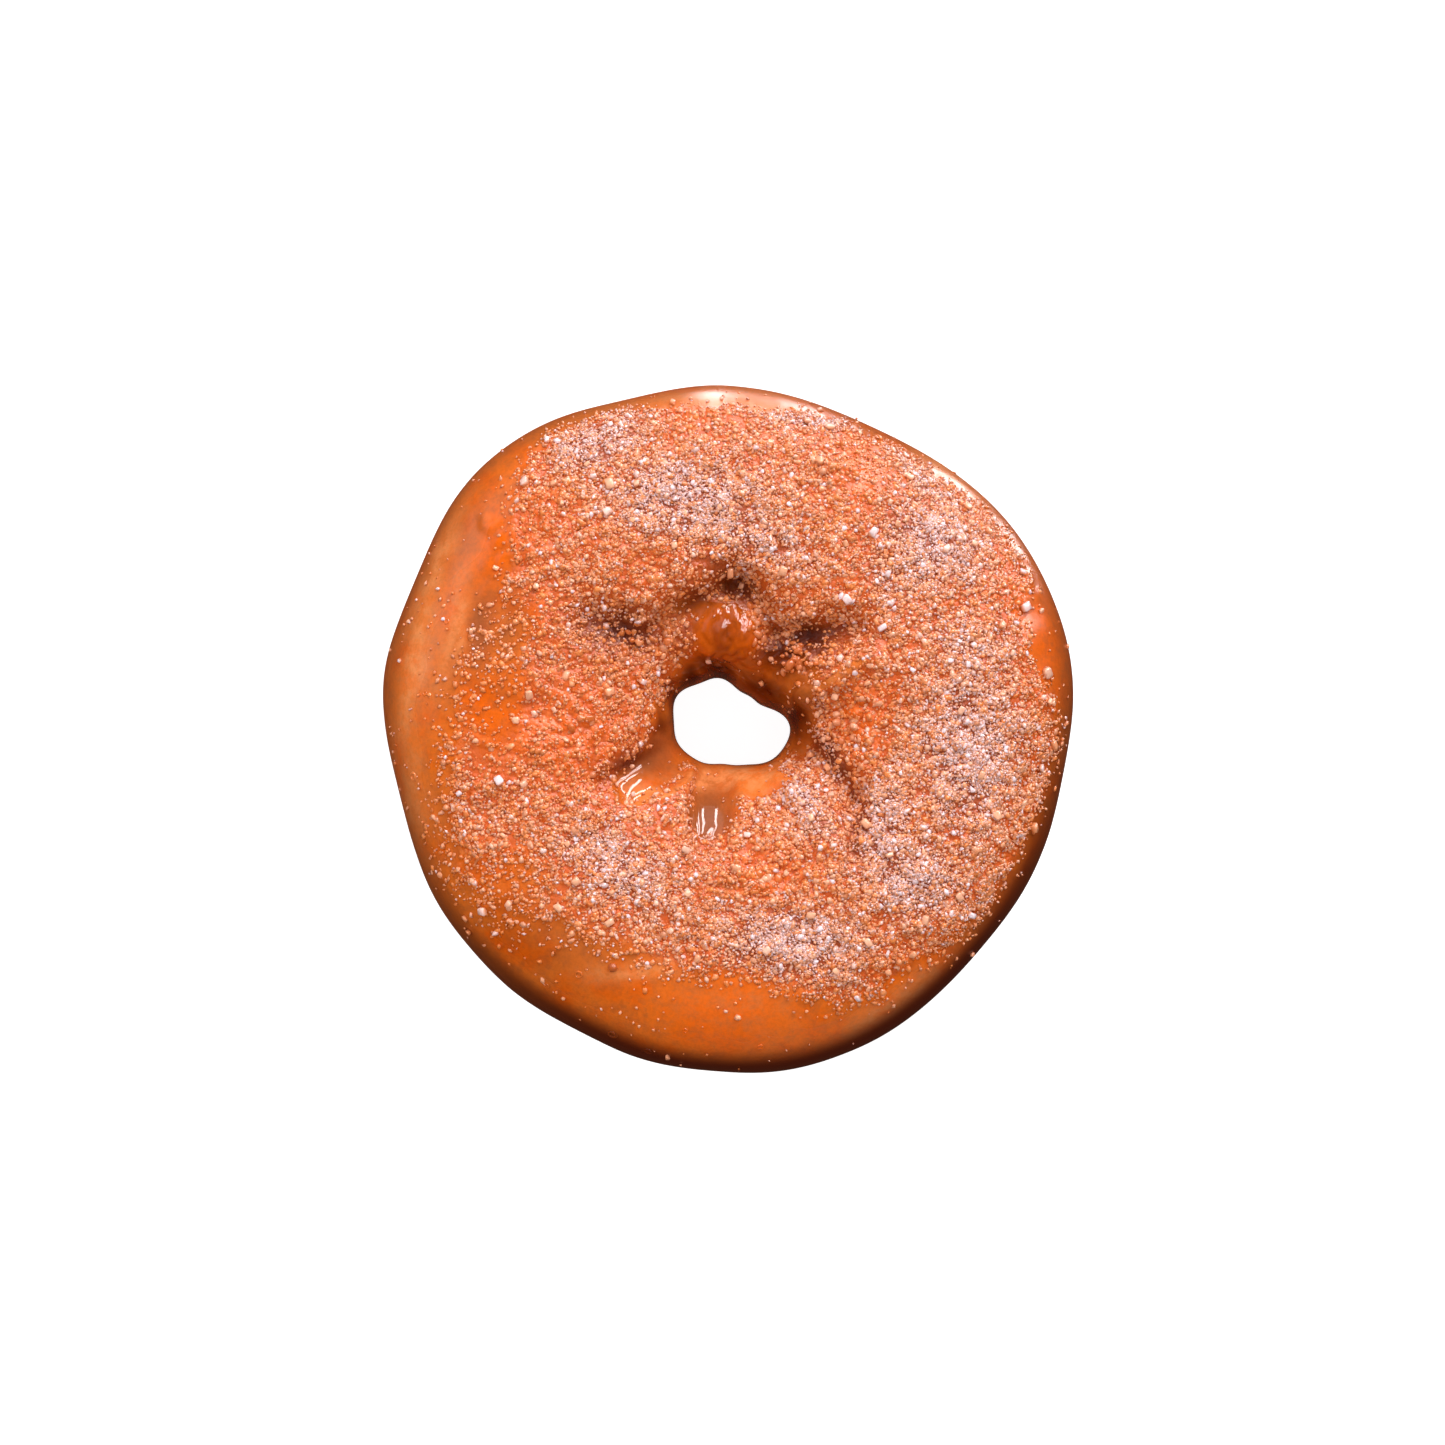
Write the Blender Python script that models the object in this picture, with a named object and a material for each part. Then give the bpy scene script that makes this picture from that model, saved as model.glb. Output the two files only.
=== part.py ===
"""Pumpkin sugar doughnut: one raised ring of dough whose largest sugar crystals stand fused on it.

Metres, +Z up. The ring lies flat with its sugared side up. The origin is on the face that it rests on,
under the middle of its outline. +Y is the side that lies uppermost when the ring is seen from above.
"""

import math
import random
from typing import NamedTuple

import bmesh
import bpy
from mathutils import Matrix, Vector, noise
from mathutils.bvhtree import BVHTree

MM = 0.001

# The ring of dough
RIM_RADIUS = 44.8 * MM
HOLE_RADIUS = 6.3 * MM
RING_HEIGHT = 29.5 * MM
WAIST_HEIGHT = 14.5 * MM
FLATTENED_DEPTH = 1.3 * MM  # how far its own weight has pressed the underside flat
RIM_FULLNESS = 2.5  # exponent of the section's curve: 2 is an ellipse, more is squarer
HOLE_FULLNESS = 2.2

# Waves of the hand-cut outline and of the hole: crests round the ring, height, angle of one crest
RIM_WAVES = (
    (1, 0.53 * MM, 127),
    (2, 0.30 * MM, -46),
    (3, 0.80 * MM, 22),
    (4, 0.30 * MM, 26),
    (5, 0.12 * MM, 8),
    (7, 0.14 * MM, 26),
    (8, 0.14 * MM, -2),
    (9, 0.18 * MM, 13),
)
HOLE_WAVES = (
    (1, 0.53 * MM, 141),
    (2, 1.34 * MM, -17),
    (3, 0.53 * MM, -10),
    (4, 0.15 * MM, -2),
    (5, 0.12 * MM, 4),
    (7, 0.11 * MM, 0),
    (8, 0.13 * MM, 10),
)

# Slow swells of the whole ring, and the crumbly crust where sugar lies
SWELL_HEIGHT = 0.55 * MM
SWELL_LENGTH = 15 * MM
CRAG_HEIGHT = 0.50 * MM
CRAG_LENGTH = 4.2 * MM

# The mesh: steps round the ring and round its section
RING_STEPS = 92
SECTION_STEPS = 44  # a multiple of 4, so that the spun circle has a point at each quarter turn
SPUN_RADIUS = 2.0  # of the plain ring that is spun first, round a section of radius 1
HOLLOW_RADIUS = 20 * MM  # the hollow round the hole, where the puckers are
HOLLOW_DENSITY = 2.3  # of the steps that the rest of the top has
UNDERSIDE_DENSITY = 0.5
SURVEY_STEPS = 2000

# The largest sugar crystals and crumbs, which show from a step away
CRYSTAL_COUNT = 120
CRYSTAL_TRIES = 6000
CRYSTAL_SEED = 31
CRYSTAL_SMALLEST = 0.45 * MM  # radius
CRYSTAL_LARGEST = 0.85 * MM
CRYSTAL_GAP = 2.9 * MM
CRYSTAL_SUNK = 0.35  # share of its radius that its middle lies under the crust
CRYSTAL_UPRIGHT = 0.55  # crystals lie only where the crust faces up at least this much

DOUGH_COLOUR = (0.72, 0.25, 0.06, 1.0)
DOUGH_ROUGHNESS = 0.35
SUGAR_COLOUR = (0.82, 0.62, 0.50, 1.0)
SUGAR_ROUGHNESS = 0.25
DOUGH_SLOT, SUGAR_SLOT = 0, 1


class Fold(NamedTuple):
    """A crease, or a ridge where the depth is negative, along a line on the top. In millimetres.

    Its sides fall off with the power: 2 is rounded, 4 has a flat floor and steep sides.
    """

    start: tuple[float, float]
    end: tuple[float, float]
    width: float
    depth: float
    power: int = 2


class Patch(NamedTuple):
    """An oval place on the top: middle and radii in millimetres, turn in degrees."""

    middle: tuple[float, float]
    radii: tuple[float, float]
    turn: float


# The puckers where the ring has closed in on its hole, clockwise from noon
FOLDS = (
    Fold((1.2, 17.6), (4.6, 13.0), 2.4, 2.4),
    Fold((5.6, 10.6), (15.6, 12.6), 2.1, 2.9),
    Fold((9.6, 4.2), (17.8, 8.9), 1.7, -1.2),
    Fold((10.0, -3.4), (15.2, -8.4), 2.0, 1.9),
    Fold((15.2, -8.4), (15.4, -15.4), 2.1, 1.7),
    Fold((7.0, -6.8), (13.4, -15.4), 1.8, -1.0),
    Fold((-2.2, -7.5), (-2.4, -13.2), 2.7, 2.0, 4),
    Fold((-5.0, -6.0), (-7.8, -10.6), 1.3, -0.8),
    Fold((-7.6, -4.8), (-12.0, -7.2), 2.3, 1.5, 4),
    Fold((-8.6, -1.8), (-15.6, -6.8), 1.8, 1.6),
    Fold((-9.8, 10.4), (-17.0, 13.8), 2.5, 2.0),
    Fold((-7.6, 13.4), (1.2, 17.6), 2.3, 2.4),
    Fold((-2.4, 10.9), (1.8, 11.1), 2.4, -1.8),
)

# How far out the sugar lies, at each hour round the ring, anticlockwise from +X
SUGAR_EDGE = tuple(
    radius * MM
    for radius in (42.0, 43.5, 41.5, 40.7, 44.0, 34.6, 35.3, 39.0, 30.5, 31.5, 38.8, 40.3)
)
SUGAR_EDGE_WIDTH = 2.2 * MM

# Places where the glaze has pooled and no sugar sticks
BARE_PATCHES = (
    Patch((-9.6, -6.2), (3.6, 2.3), 35),
    Patch((-2.4, -10.2), (3.0, 4.6), 0),
    Patch((3.6, -6.6), (4.8, 1.8), 0),
    Patch((-0.5, 11.6), (4.0, 3.0), 0),
    Patch((13.6, 6.6), (5.0, 1.1), 30),
)


def smooth_step(value: float, low: float, high: float) -> float:
    """0 below low, 1 above high, and a smooth rise between."""
    share = min(1.0, max(0.0, (value - low) / (high - low)))
    return share * share * (3 - 2 * share)


def wavy(radius: float, waves: tuple, angle: float) -> float:
    """A radius at an angle round the ring, with waves on it."""
    return radius + sum(
        height * math.cos(crests * (angle - math.radians(crest_angle)))
        for crests, height, crest_angle in waves
    )


def fold_depth(x: float, y: float) -> float:
    """How far the puckers lower the top at a place."""
    depth = 0.0
    for fold in FOLDS:
        start = Vector(fold.start) * MM
        along = Vector(fold.end) * MM - start
        offset = Vector((x, y)) - start
        share = min(1.0, max(0.0, offset.dot(along) / along.length_squared))
        distance = (offset - along * share).length / (fold.width * MM)
        depth += fold.depth * MM * math.exp(-(distance**fold.power))
    return depth


def sugar_cover(x: float, y: float) -> float:
    """How thickly the sugar lies at a place on the top, from 0 to 1."""
    hour = math.atan2(y, x) / math.radians(30) % len(SUGAR_EDGE)
    before = int(hour) % len(SUGAR_EDGE)
    blend = smooth_step(hour - before, 0, 1)
    edge = SUGAR_EDGE[before] * (1 - blend) + SUGAR_EDGE[(before + 1) % len(SUGAR_EDGE)] * blend
    cover = 1 - smooth_step(math.hypot(x, y), edge - SUGAR_EDGE_WIDTH, edge + SUGAR_EDGE_WIDTH)
    for patch in BARE_PATCHES:
        offset = Vector((x, y)) - Vector(patch.middle) * MM
        offset.rotate(Matrix.Rotation(-math.radians(patch.turn), 2))
        reach = math.hypot(offset.x / (patch.radii[0] * MM), offset.y / (patch.radii[1] * MM))
        cover *= smooth_step(reach, 0.75, 1.15)
    return cover


def section(angle: float, turn: float) -> tuple[Vector, Vector]:
    """A point of the smooth ring and the way out of it there. Turn is 0 at the rim and a quarter turn on top."""
    hole = wavy(HOLE_RADIUS, HOLE_WAVES, angle)
    rim = wavy(RIM_RADIUS, RIM_WAVES, angle)
    half_width = (rim - hole) / 2
    across, up = math.cos(turn), math.sin(turn)
    fullness = RIM_FULLNESS if across > 0 else HOLE_FULLNESS
    rise = RING_HEIGHT - WAIST_HEIGHT if up > 0 else WAIST_HEIGHT + FLATTENED_DEPTH
    along = math.copysign(abs(across) ** (2 / fullness), across)
    height = math.copysign(abs(up) ** (2 / fullness), up)
    radius = hole + half_width * (1 + along)
    point = Vector((radius * math.cos(angle), radius * math.sin(angle), WAIST_HEIGHT + rise * height))
    outwards = math.copysign(abs(along) ** (fullness - 1), along) / half_width
    upwards = math.copysign(abs(height) ** (fullness - 1), height) / rise
    normal = Vector((outwards * math.cos(angle), outwards * math.sin(angle), upwards))
    return point, normal.normalized()


def dough_point(angle: float, turn: float) -> tuple[Vector, Vector]:
    """A point of the finished crust, and the way out of the smooth ring there."""
    point, normal = section(angle, turn)
    raised = SWELL_HEIGHT * noise.noise(point / SWELL_LENGTH)
    top = smooth_step(normal.z, 0.0, 0.55)
    if top > 0:
        crags = CRAG_HEIGHT * noise.noise(point / CRAG_LENGTH) * sugar_cover(point.x, point.y)
        raised += top * (crags - fold_depth(point.x, point.y))
    point = point + normal * raised
    point.z = max(0.0, point.z)
    return point, normal


def even_turns(steps: int) -> list[float]:
    """Turns round the section, closer together in the hollow and wider apart on the underside."""
    turns = [math.tau * step / SURVEY_STEPS for step in range(SURVEY_STEPS + 1)]
    lengths = [0.0]
    for before, after in zip(turns, turns[1:]):
        density = 1.0
        if after > math.pi:
            density = UNDERSIDE_DENSITY
        elif section(0, after)[0].x < HOLLOW_RADIUS:
            density = HOLLOW_DENSITY
        stretch = (section(0, after)[0] - section(0, before)[0]).length
        lengths.append(lengths[-1] + stretch * density)
    found, at = [], 0
    for step in range(steps):
        wanted = lengths[-1] * step / steps
        while lengths[at + 1] < wanted:
            at += 1
        found.append(turns[at])
    return found + [math.tau]


def on_crust(spun: Vector, turns: list[float]) -> Vector:
    """The place on the crust for a point of the plain spun ring."""
    lean = math.atan2(spun.z, math.hypot(spun.x, spun.y) - SPUN_RADIUS)
    step = lean / math.tau * SECTION_STEPS % SECTION_STEPS
    before = min(int(step), SECTION_STEPS - 1)
    turn = turns[before] + (turns[before + 1] - turns[before]) * (step - before)
    return dough_point(math.atan2(spun.y, spun.x), turn)[0]


def ring_mesh() -> bmesh.types.BMesh:
    """The bare ring: a circle spun round the hole, whose points then go to their places on the crust.

    Each face is split along the diagonal that lies nearer the crust, so that the creases run true.
    """
    turns = even_turns(SECTION_STEPS)
    ring = bmesh.new()
    upright = Matrix.Translation((SPUN_RADIUS, 0, 0)) @ Matrix.Rotation(math.pi / 2, 4, "X")
    bmesh.ops.create_circle(ring, segments=SECTION_STEPS, radius=1, matrix=upright)
    bmesh.ops.spin(
        ring,
        geom=ring.edges[:],
        cent=(0, 0, 0),
        axis=(0, 0, 1),
        angle=math.tau,
        steps=RING_STEPS,
        use_merge=True,
    )
    middles = [(face, on_crust(face.calc_center_median(), turns)) for face in ring.faces]
    for vertex in ring.verts:
        vertex.co = on_crust(vertex.co, turns)
    for face, middle in middles:
        corners = face.verts[:]
        misses = [((corners[k].co + corners[k + 2].co) / 2 - middle).length for k in (0, 1)]
        nearer = misses.index(min(misses))
        bmesh.utils.face_split(face, corners[nearer], corners[nearer + 2])
    bmesh.ops.recalc_face_normals(ring, faces=ring.faces[:])
    return ring


def crystal_spots() -> list[tuple[Vector, Vector, float]]:
    """Where the largest crystals lie: point, way up and radius. They keep apart, and follow the sugar."""
    draw = random.Random(CRYSTAL_SEED)
    spots = []
    for _ in range(CRYSTAL_TRIES):
        angle, turn, luck = draw.uniform(0, math.tau), draw.uniform(0, math.pi), draw.random()
        radius = CRYSTAL_SMALLEST + (CRYSTAL_LARGEST - CRYSTAL_SMALLEST) * draw.random() ** 2
        point, normal = dough_point(angle, turn)
        share = math.hypot(point.x, point.y) / RIM_RADIUS
        if normal.z < CRYSTAL_UPRIGHT or luck > share * (0.08 + 0.92 * sugar_cover(point.x, point.y)):
            continue
        if all((point - other).length > CRYSTAL_GAP for other, _, _ in spots):
            spots.append((point, normal, radius))
        if len(spots) == CRYSTAL_COUNT:
            break
    return spots


def crystal_mesh(draw: random.Random, crust: BVHTree, spot: tuple[Vector, Vector, float]) -> bmesh.types.BMesh:
    """One sugar crystal: a small ball made longer, flatter and uneven, set in the nearest face of the crust."""
    above, _, radius = spot
    point, normal, _, _ = crust.find_nearest(above)
    crystal = bmesh.new()
    bmesh.ops.create_icosphere(crystal, subdivisions=1, radius=radius)
    shape = Matrix.Diagonal((draw.uniform(1.0, 1.35), draw.uniform(0.7, 0.95), draw.uniform(0.65, 0.9), 1))
    for vertex in crystal.verts:
        vertex.co *= draw.uniform(0.85, 1.1)
    spin = Matrix.Rotation(draw.uniform(0, math.tau), 4, "Z")
    lie = normal.to_track_quat("Z", "Y").to_matrix().to_4x4()
    place = Matrix.Translation(point - normal * radius * CRYSTAL_SUNK)
    bmesh.ops.transform(crystal, matrix=place @ lie @ spin @ shape, verts=crystal.verts[:])
    for face in crystal.faces:
        face.material_index = SUGAR_SLOT
    return crystal


def add_object(name: str, shape: bmesh.types.BMesh, collection: bpy.types.Collection) -> bpy.types.Object:
    """A mesh object made from a bmesh, which is used up, with a slot for the dough and one for the sugar."""
    mesh = bpy.data.meshes.new(name)
    shape.to_mesh(mesh)
    shape.free()
    mesh.materials.append(food_material("glazed_dough", DOUGH_COLOUR, DOUGH_ROUGHNESS))
    mesh.materials.append(food_material("sugar", SUGAR_COLOUR, SUGAR_ROUGHNESS))
    thing = bpy.data.objects.new(name, mesh)
    collection.objects.link(thing)
    return thing


def food_material(name: str, colour: tuple, roughness: float) -> bpy.types.Material:
    """A plain material, made once for each name."""
    if name in bpy.data.materials:
        return bpy.data.materials[name]
    material = bpy.data.materials.new(name)
    material.use_nodes = True
    shader = material.node_tree.nodes["Principled BSDF"]
    shader.inputs["Base Color"].default_value = colour
    shader.inputs["Metallic"].default_value = 0.0
    shader.inputs["Roughness"].default_value = roughness
    material.diffuse_color = colour
    return material


def fuse(ring: bpy.types.Object, collection: bpy.types.Collection) -> None:
    """Joins everything in the collection to the ring with one Boolean, and removes the loose objects."""
    union = ring.modifiers.new("crystals", "BOOLEAN")
    union.operation = "UNION"
    union.operand_type = "COLLECTION"
    union.solver = "EXACT"
    union.collection = collection
    graph = bpy.context.evaluated_depsgraph_get()
    fused = bpy.data.meshes.new_from_object(ring.evaluated_get(graph))
    ring.modifiers.clear()
    ring.data = fused
    for loose in list(collection.objects):
        bpy.data.objects.remove(loose)
    bpy.data.collections.remove(collection)


def build() -> None:
    """The doughnut, as the one object in the scene, its crust shaded smooth and its crystals sharp."""
    for old in list(bpy.data.objects):
        bpy.data.objects.remove(old)
    scene_collection = bpy.context.scene.collection
    ring = ring_mesh()
    crust = BVHTree.FromBMesh(ring)
    doughnut = add_object("doughnut", ring, scene_collection)
    crystals = bpy.data.collections.new("crystals")
    scene_collection.children.link(crystals)
    draw = random.Random(CRYSTAL_SEED)
    for number, spot in enumerate(crystal_spots()):
        add_object(f"crystal_{number}", crystal_mesh(draw, crust, spot), crystals)
    fuse(doughnut, crystals)
    for face in doughnut.data.polygons:
        face.use_smooth = face.material_index == DOUGH_SLOT


build()
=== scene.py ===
"""Pumpkin sugar doughnut, dressed: glazed dough with sugar grains, crystals, crumbs and bubbles on it.

Metres, +Z up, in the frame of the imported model. The ring of dough is modelled again from the same named
sizes as the solid, with a finer mesh, and all of the sugar lies on its crust.
"""

import logging
import math
import random
from dataclasses import dataclass
from enum import Enum
from typing import NamedTuple

import bmesh
import bpy
import numpy as np
from mathutils import Matrix, Vector, noise
from mathutils.bvhtree import BVHTree


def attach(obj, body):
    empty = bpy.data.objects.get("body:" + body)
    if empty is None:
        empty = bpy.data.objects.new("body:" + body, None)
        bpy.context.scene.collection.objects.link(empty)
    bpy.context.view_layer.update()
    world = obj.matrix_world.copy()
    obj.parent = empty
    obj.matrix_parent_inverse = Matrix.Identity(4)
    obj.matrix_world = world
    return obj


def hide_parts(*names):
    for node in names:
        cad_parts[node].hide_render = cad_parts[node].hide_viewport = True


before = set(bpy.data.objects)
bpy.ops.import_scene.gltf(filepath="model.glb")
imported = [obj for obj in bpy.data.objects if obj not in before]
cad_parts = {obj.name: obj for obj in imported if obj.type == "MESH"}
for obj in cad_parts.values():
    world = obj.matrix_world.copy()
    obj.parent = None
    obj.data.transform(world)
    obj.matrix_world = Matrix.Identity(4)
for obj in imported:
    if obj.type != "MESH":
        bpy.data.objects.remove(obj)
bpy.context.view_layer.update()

MM = 0.001
BODY = "root"
LOG = logging.getLogger("doughnut")

# The photograph's frame, in its own pixels, and where the middle of the doughnut lies in it
PHOTO_SIDE = 1445
PHOTO_MIDDLE = (729, 728)
PHOTO_WIDTH = 686  # of the doughnut
REAL_WIDTH = 90 * MM

Colour = tuple[float, float, float, float]
Fields = dict[str, np.ndarray]


class Slot(Enum):
    """The material slots, by name."""

    DOUGH = "glazed_dough"
    SUGAR = "sugar"


class Cut(Enum):
    """The shapes that a grain of sugar or a crumb is cut to."""

    SPLINTER = "splinter"
    LUMP = "lump"
    CRYSTAL = "crystal"
    CRUMB = "crumb"


class Wave(NamedTuple):
    """A wave of an outline: crests round the ring, height in millimetres, angle of one crest in degrees."""

    crests: int
    height: float
    crest_angle: float


class Fold(NamedTuple):
    """A crease, or a ridge where the depth is negative, along a line on the top. In millimetres.

    Its sides fall off with the power: 2 is rounded, 4 has a flat floor and steep sides.
    """

    start: tuple[float, float]
    end: tuple[float, float]
    width: float
    depth: float
    power: int = 2


class Patch(NamedTuple):
    """An oval place on the top: middle and radii in millimetres, turn in degrees, strength from 0 to 1."""

    middle: tuple[float, float]
    radii: tuple[float, float]
    turn: float = 0
    strength: float = 1


class SoftLight(NamedTuple):
    """A rectangular light: directions in degrees, from +X and above the floor, then metres."""

    name: str
    azimuth: float
    elevation: float
    distance: float
    size: tuple[float, float]
    radiance: float
    colour: tuple[float, float, float]


def smooth_step(value: np.ndarray, low: float, high: float) -> np.ndarray:
    """0 below low, 1 above high, and a smooth rise between.

    Args:
        value: The numbers to judge.
        low: Where the rise starts.
        high: Where it ends.

    Returns:
        A share from 0 to 1 for each value.
    """
    share = np.clip((value - low) / (high - low), 0, 1)
    return share * share * (3 - 2 * share)


def noise_at(points: np.ndarray, length: float) -> np.ndarray:
    """Smooth noise from about -1 to 1 that repeats its swells every length metres or so.

    Args:
        points: Places, one row each.
        length: The size of the swells in metres.

    Returns:
        One number for each place.
    """
    return np.array([noise.noise(point) for point in (points / length).tolist()])


def patch_reach(patch: Patch, x: np.ndarray, y: np.ndarray) -> np.ndarray:
    """How far places lie from the middle of a patch, where 1 is its edge.

    Args:
        patch: The oval place.
        x: Places along X in metres.
        y: Places along Y in metres.

    Returns:
        The reach of each place.
    """
    turn = math.radians(patch.turn)
    across, up = x / MM - patch.middle[0], y / MM - patch.middle[1]
    along = across * math.cos(turn) + up * math.sin(turn)
    beside = up * math.cos(turn) - across * math.sin(turn)
    return np.hypot(along / patch.radii[0], beside / patch.radii[1])


def facing_out(points: np.ndarray, normals: np.ndarray) -> tuple[np.ndarray, np.ndarray]:
    """Where places lie round the ring, and how far the crust faces away from its middle there.

    Args:
        points: Points of the crust.
        normals: The ways out of it.

    Returns:
        The angles in radians, and a share from -1 to 1 for each.
    """
    angle = np.arctan2(points[:, 1], points[:, 0])
    return angle, normals[:, 0] * np.cos(angle) + normals[:, 1] * np.sin(angle)


def patch_glow(patches: tuple[Patch, ...], x: np.ndarray, y: np.ndarray) -> np.ndarray:
    """The strongest of some soft patches at each place.

    Args:
        patches: The oval places, which fade out smoothly.
        x: Places along X in metres.
        y: Places along Y in metres.

    Returns:
        A strength from 0 to 1 for each place.
    """
    glow = np.zeros_like(x)
    for patch in patches:
        glow = np.maximum(glow, patch.strength * np.exp(-patch_reach(patch, x, y) ** 2))
    return glow


@dataclass
class RingShape:
    """The form of the ring of dough, with the sizes that the solid has."""

    rim_radius: float = 44.8 * MM
    hole_radius: float = 6.3 * MM
    height: float = 29.5 * MM
    waist_height: float = 14.5 * MM
    flattened_depth: float = 1.3 * MM
    rim_fullness: float = 2.5
    hole_fullness: float = 2.2
    swell_height: float = 0.55 * MM
    swell_length: float = 15 * MM
    crag_height: float = 0.50 * MM
    crag_length: float = 4.2 * MM
    sugar_edge_width: float = 2.2 * MM
    top_facing: tuple[float, float] = (0.0, 0.55)  # where folds and crags start, and where they are full
    bare_edge: tuple[float, float] = (0.75, 1.15)  # the fade at the edge of a bare patch, 1 being its edge
    rim_waves: tuple[Wave, ...] = (
        Wave(1, 0.53, 127),
        Wave(2, 0.30, -46),
        Wave(3, 0.80, 22),
        Wave(4, 0.30, 26),
        Wave(5, 0.12, 8),
        Wave(7, 0.14, 26),
        Wave(8, 0.14, -2),
        Wave(9, 0.18, 13),
    )
    hole_waves: tuple[Wave, ...] = (
        Wave(1, 0.53, 141),
        Wave(2, 1.34, -17),
        Wave(3, 0.53, -10),
        Wave(4, 0.15, -2),
        Wave(5, 0.12, 4),
        Wave(7, 0.11, 0),
        Wave(8, 0.13, 10),
    )
    folds: tuple[Fold, ...] = (
        Fold((1.2, 17.6), (4.6, 13.0), 2.4, 2.4),
        Fold((5.6, 10.6), (15.6, 12.6), 2.1, 2.9),
        Fold((9.6, 4.2), (17.8, 8.9), 1.7, -1.2),
        Fold((10.0, -3.4), (15.2, -8.4), 2.0, 1.9),
        Fold((15.2, -8.4), (15.4, -15.4), 2.1, 1.7),
        Fold((7.0, -6.8), (13.4, -15.4), 1.8, -1.0),
        Fold((-2.2, -7.5), (-2.4, -13.2), 2.7, 2.0, 4),
        Fold((-5.0, -6.0), (-7.8, -10.6), 1.3, -0.8),
        Fold((-7.6, -4.8), (-12.0, -7.2), 2.3, 1.5, 4),
        Fold((-8.6, -1.8), (-15.6, -6.8), 1.8, 1.6),
        Fold((-9.8, 10.4), (-17.0, 13.8), 2.5, 2.0),
        Fold((-7.6, 13.4), (1.2, 17.6), 2.3, 2.4),
        Fold((-2.4, 10.9), (1.8, 11.1), 2.4, -1.8),
    )
    sugar_edge: tuple[float, ...] = (42.0, 43.5, 41.5, 40.7, 44.0, 34.6, 35.3, 39.0, 30.5, 31.5, 38.8, 40.3)
    bare_patches: tuple[Patch, ...] = (
        Patch((-9.6, -6.2), (3.6, 2.3), 35),
        Patch((-2.4, -10.2), (3.0, 4.6)),
        Patch((3.6, -6.6), (4.8, 1.8)),
        Patch((-0.5, 11.6), (4.0, 3.0)),
        Patch((13.6, 6.6), (5.0, 1.1), 30),
    )

    def wavy(self, radius: float, waves: tuple[Wave, ...], angle: np.ndarray) -> np.ndarray:
        """A radius with waves on it.

        Args:
            radius: The radius without them.
            waves: The waves of that outline.
            angle: Angles round the ring in radians.

        Returns:
            The radius at each angle.
        """
        return radius + sum(
            wave.height * MM * np.cos(wave.crests * (angle - math.radians(wave.crest_angle)))
            for wave in waves
        )

    def fold_depth(self, x: np.ndarray, y: np.ndarray) -> np.ndarray:
        """How far the puckers lower the top.

        Args:
            x: Places along X in metres.
            y: Places along Y in metres.

        Returns:
            The depth in metres at each place.
        """
        depth = np.zeros_like(x)
        for fold in self.folds:
            along_x, along_y = fold.end[0] - fold.start[0], fold.end[1] - fold.start[1]
            off_x, off_y = x / MM - fold.start[0], y / MM - fold.start[1]
            share = (off_x * along_x + off_y * along_y) / (along_x**2 + along_y**2)
            share = np.clip(share, 0, 1)
            distance = np.hypot(off_x - along_x * share, off_y - along_y * share) / fold.width
            depth += fold.depth * MM * np.exp(-(distance**fold.power))
        return depth

    def by_the_hour(self, values: tuple[float, ...], x: np.ndarray, y: np.ndarray) -> np.ndarray:
        """A value that is given for each hour round the ring, anticlockwise from +X.

        Args:
            values: The twelve values.
            x: Places along X in metres.
            y: Places along Y in metres.

        Returns:
            The value at each place.
        """
        hours = len(values)
        hour = np.arctan2(y, x) / math.radians(30) % hours
        before = hour.astype(int) % hours
        blend = smooth_step(hour - before, 0, 1)
        steps = np.array(values)
        return steps[before] * (1 - blend) + steps[(before + 1) % hours] * blend

    def sugar_cover(self, x: np.ndarray, y: np.ndarray) -> np.ndarray:
        """How thickly the sugared crust lies.

        Args:
            x: Places along X in metres.
            y: Places along Y in metres.

        Returns:
            A cover from 0 to 1 at each place.
        """
        edge = self.by_the_hour(self.sugar_edge, x, y) * MM
        cover = 1 - smooth_step((np.hypot(x, y) - edge) / self.sugar_edge_width, -1, 1)
        for patch in self.bare_patches:
            cover *= smooth_step(patch_reach(patch, x, y), *self.bare_edge)
        return cover

    def section(self, angle: np.ndarray, turn: np.ndarray) -> tuple[np.ndarray, np.ndarray]:
        """Points of the smooth ring and the ways out of it there.

        Args:
            angle: Angles round the ring in radians.
            turn: Turns round the section, 0 at the rim and a quarter turn on top.

        Returns:
            The points and the unit normals, one row each.
        """
        hole = self.wavy(self.hole_radius, self.hole_waves, angle)
        rim = self.wavy(self.rim_radius, self.rim_waves, angle)
        half_width = (rim - hole) / 2
        across, up = np.cos(turn), np.sin(turn)
        fullness = np.where(across > 0, self.rim_fullness, self.hole_fullness)
        rise = np.where(up > 0, self.height - self.waist_height, self.waist_height + self.flattened_depth)
        along = np.sign(across) * np.abs(across) ** (2 / fullness)
        height = np.sign(up) * np.abs(up) ** (2 / fullness)
        radius = hole + half_width * (1 + along)
        points = np.stack(
            [radius * np.cos(angle), radius * np.sin(angle), self.waist_height + rise * height], axis=1
        )
        outwards = np.sign(along) * np.abs(along) ** (fullness - 1) / half_width
        upwards = np.sign(height) * np.abs(height) ** (fullness - 1) / rise
        normals = np.stack([outwards * np.cos(angle), outwards * np.sin(angle), upwards], axis=1)
        return points, normals / np.linalg.norm(normals, axis=1, keepdims=True)

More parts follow.
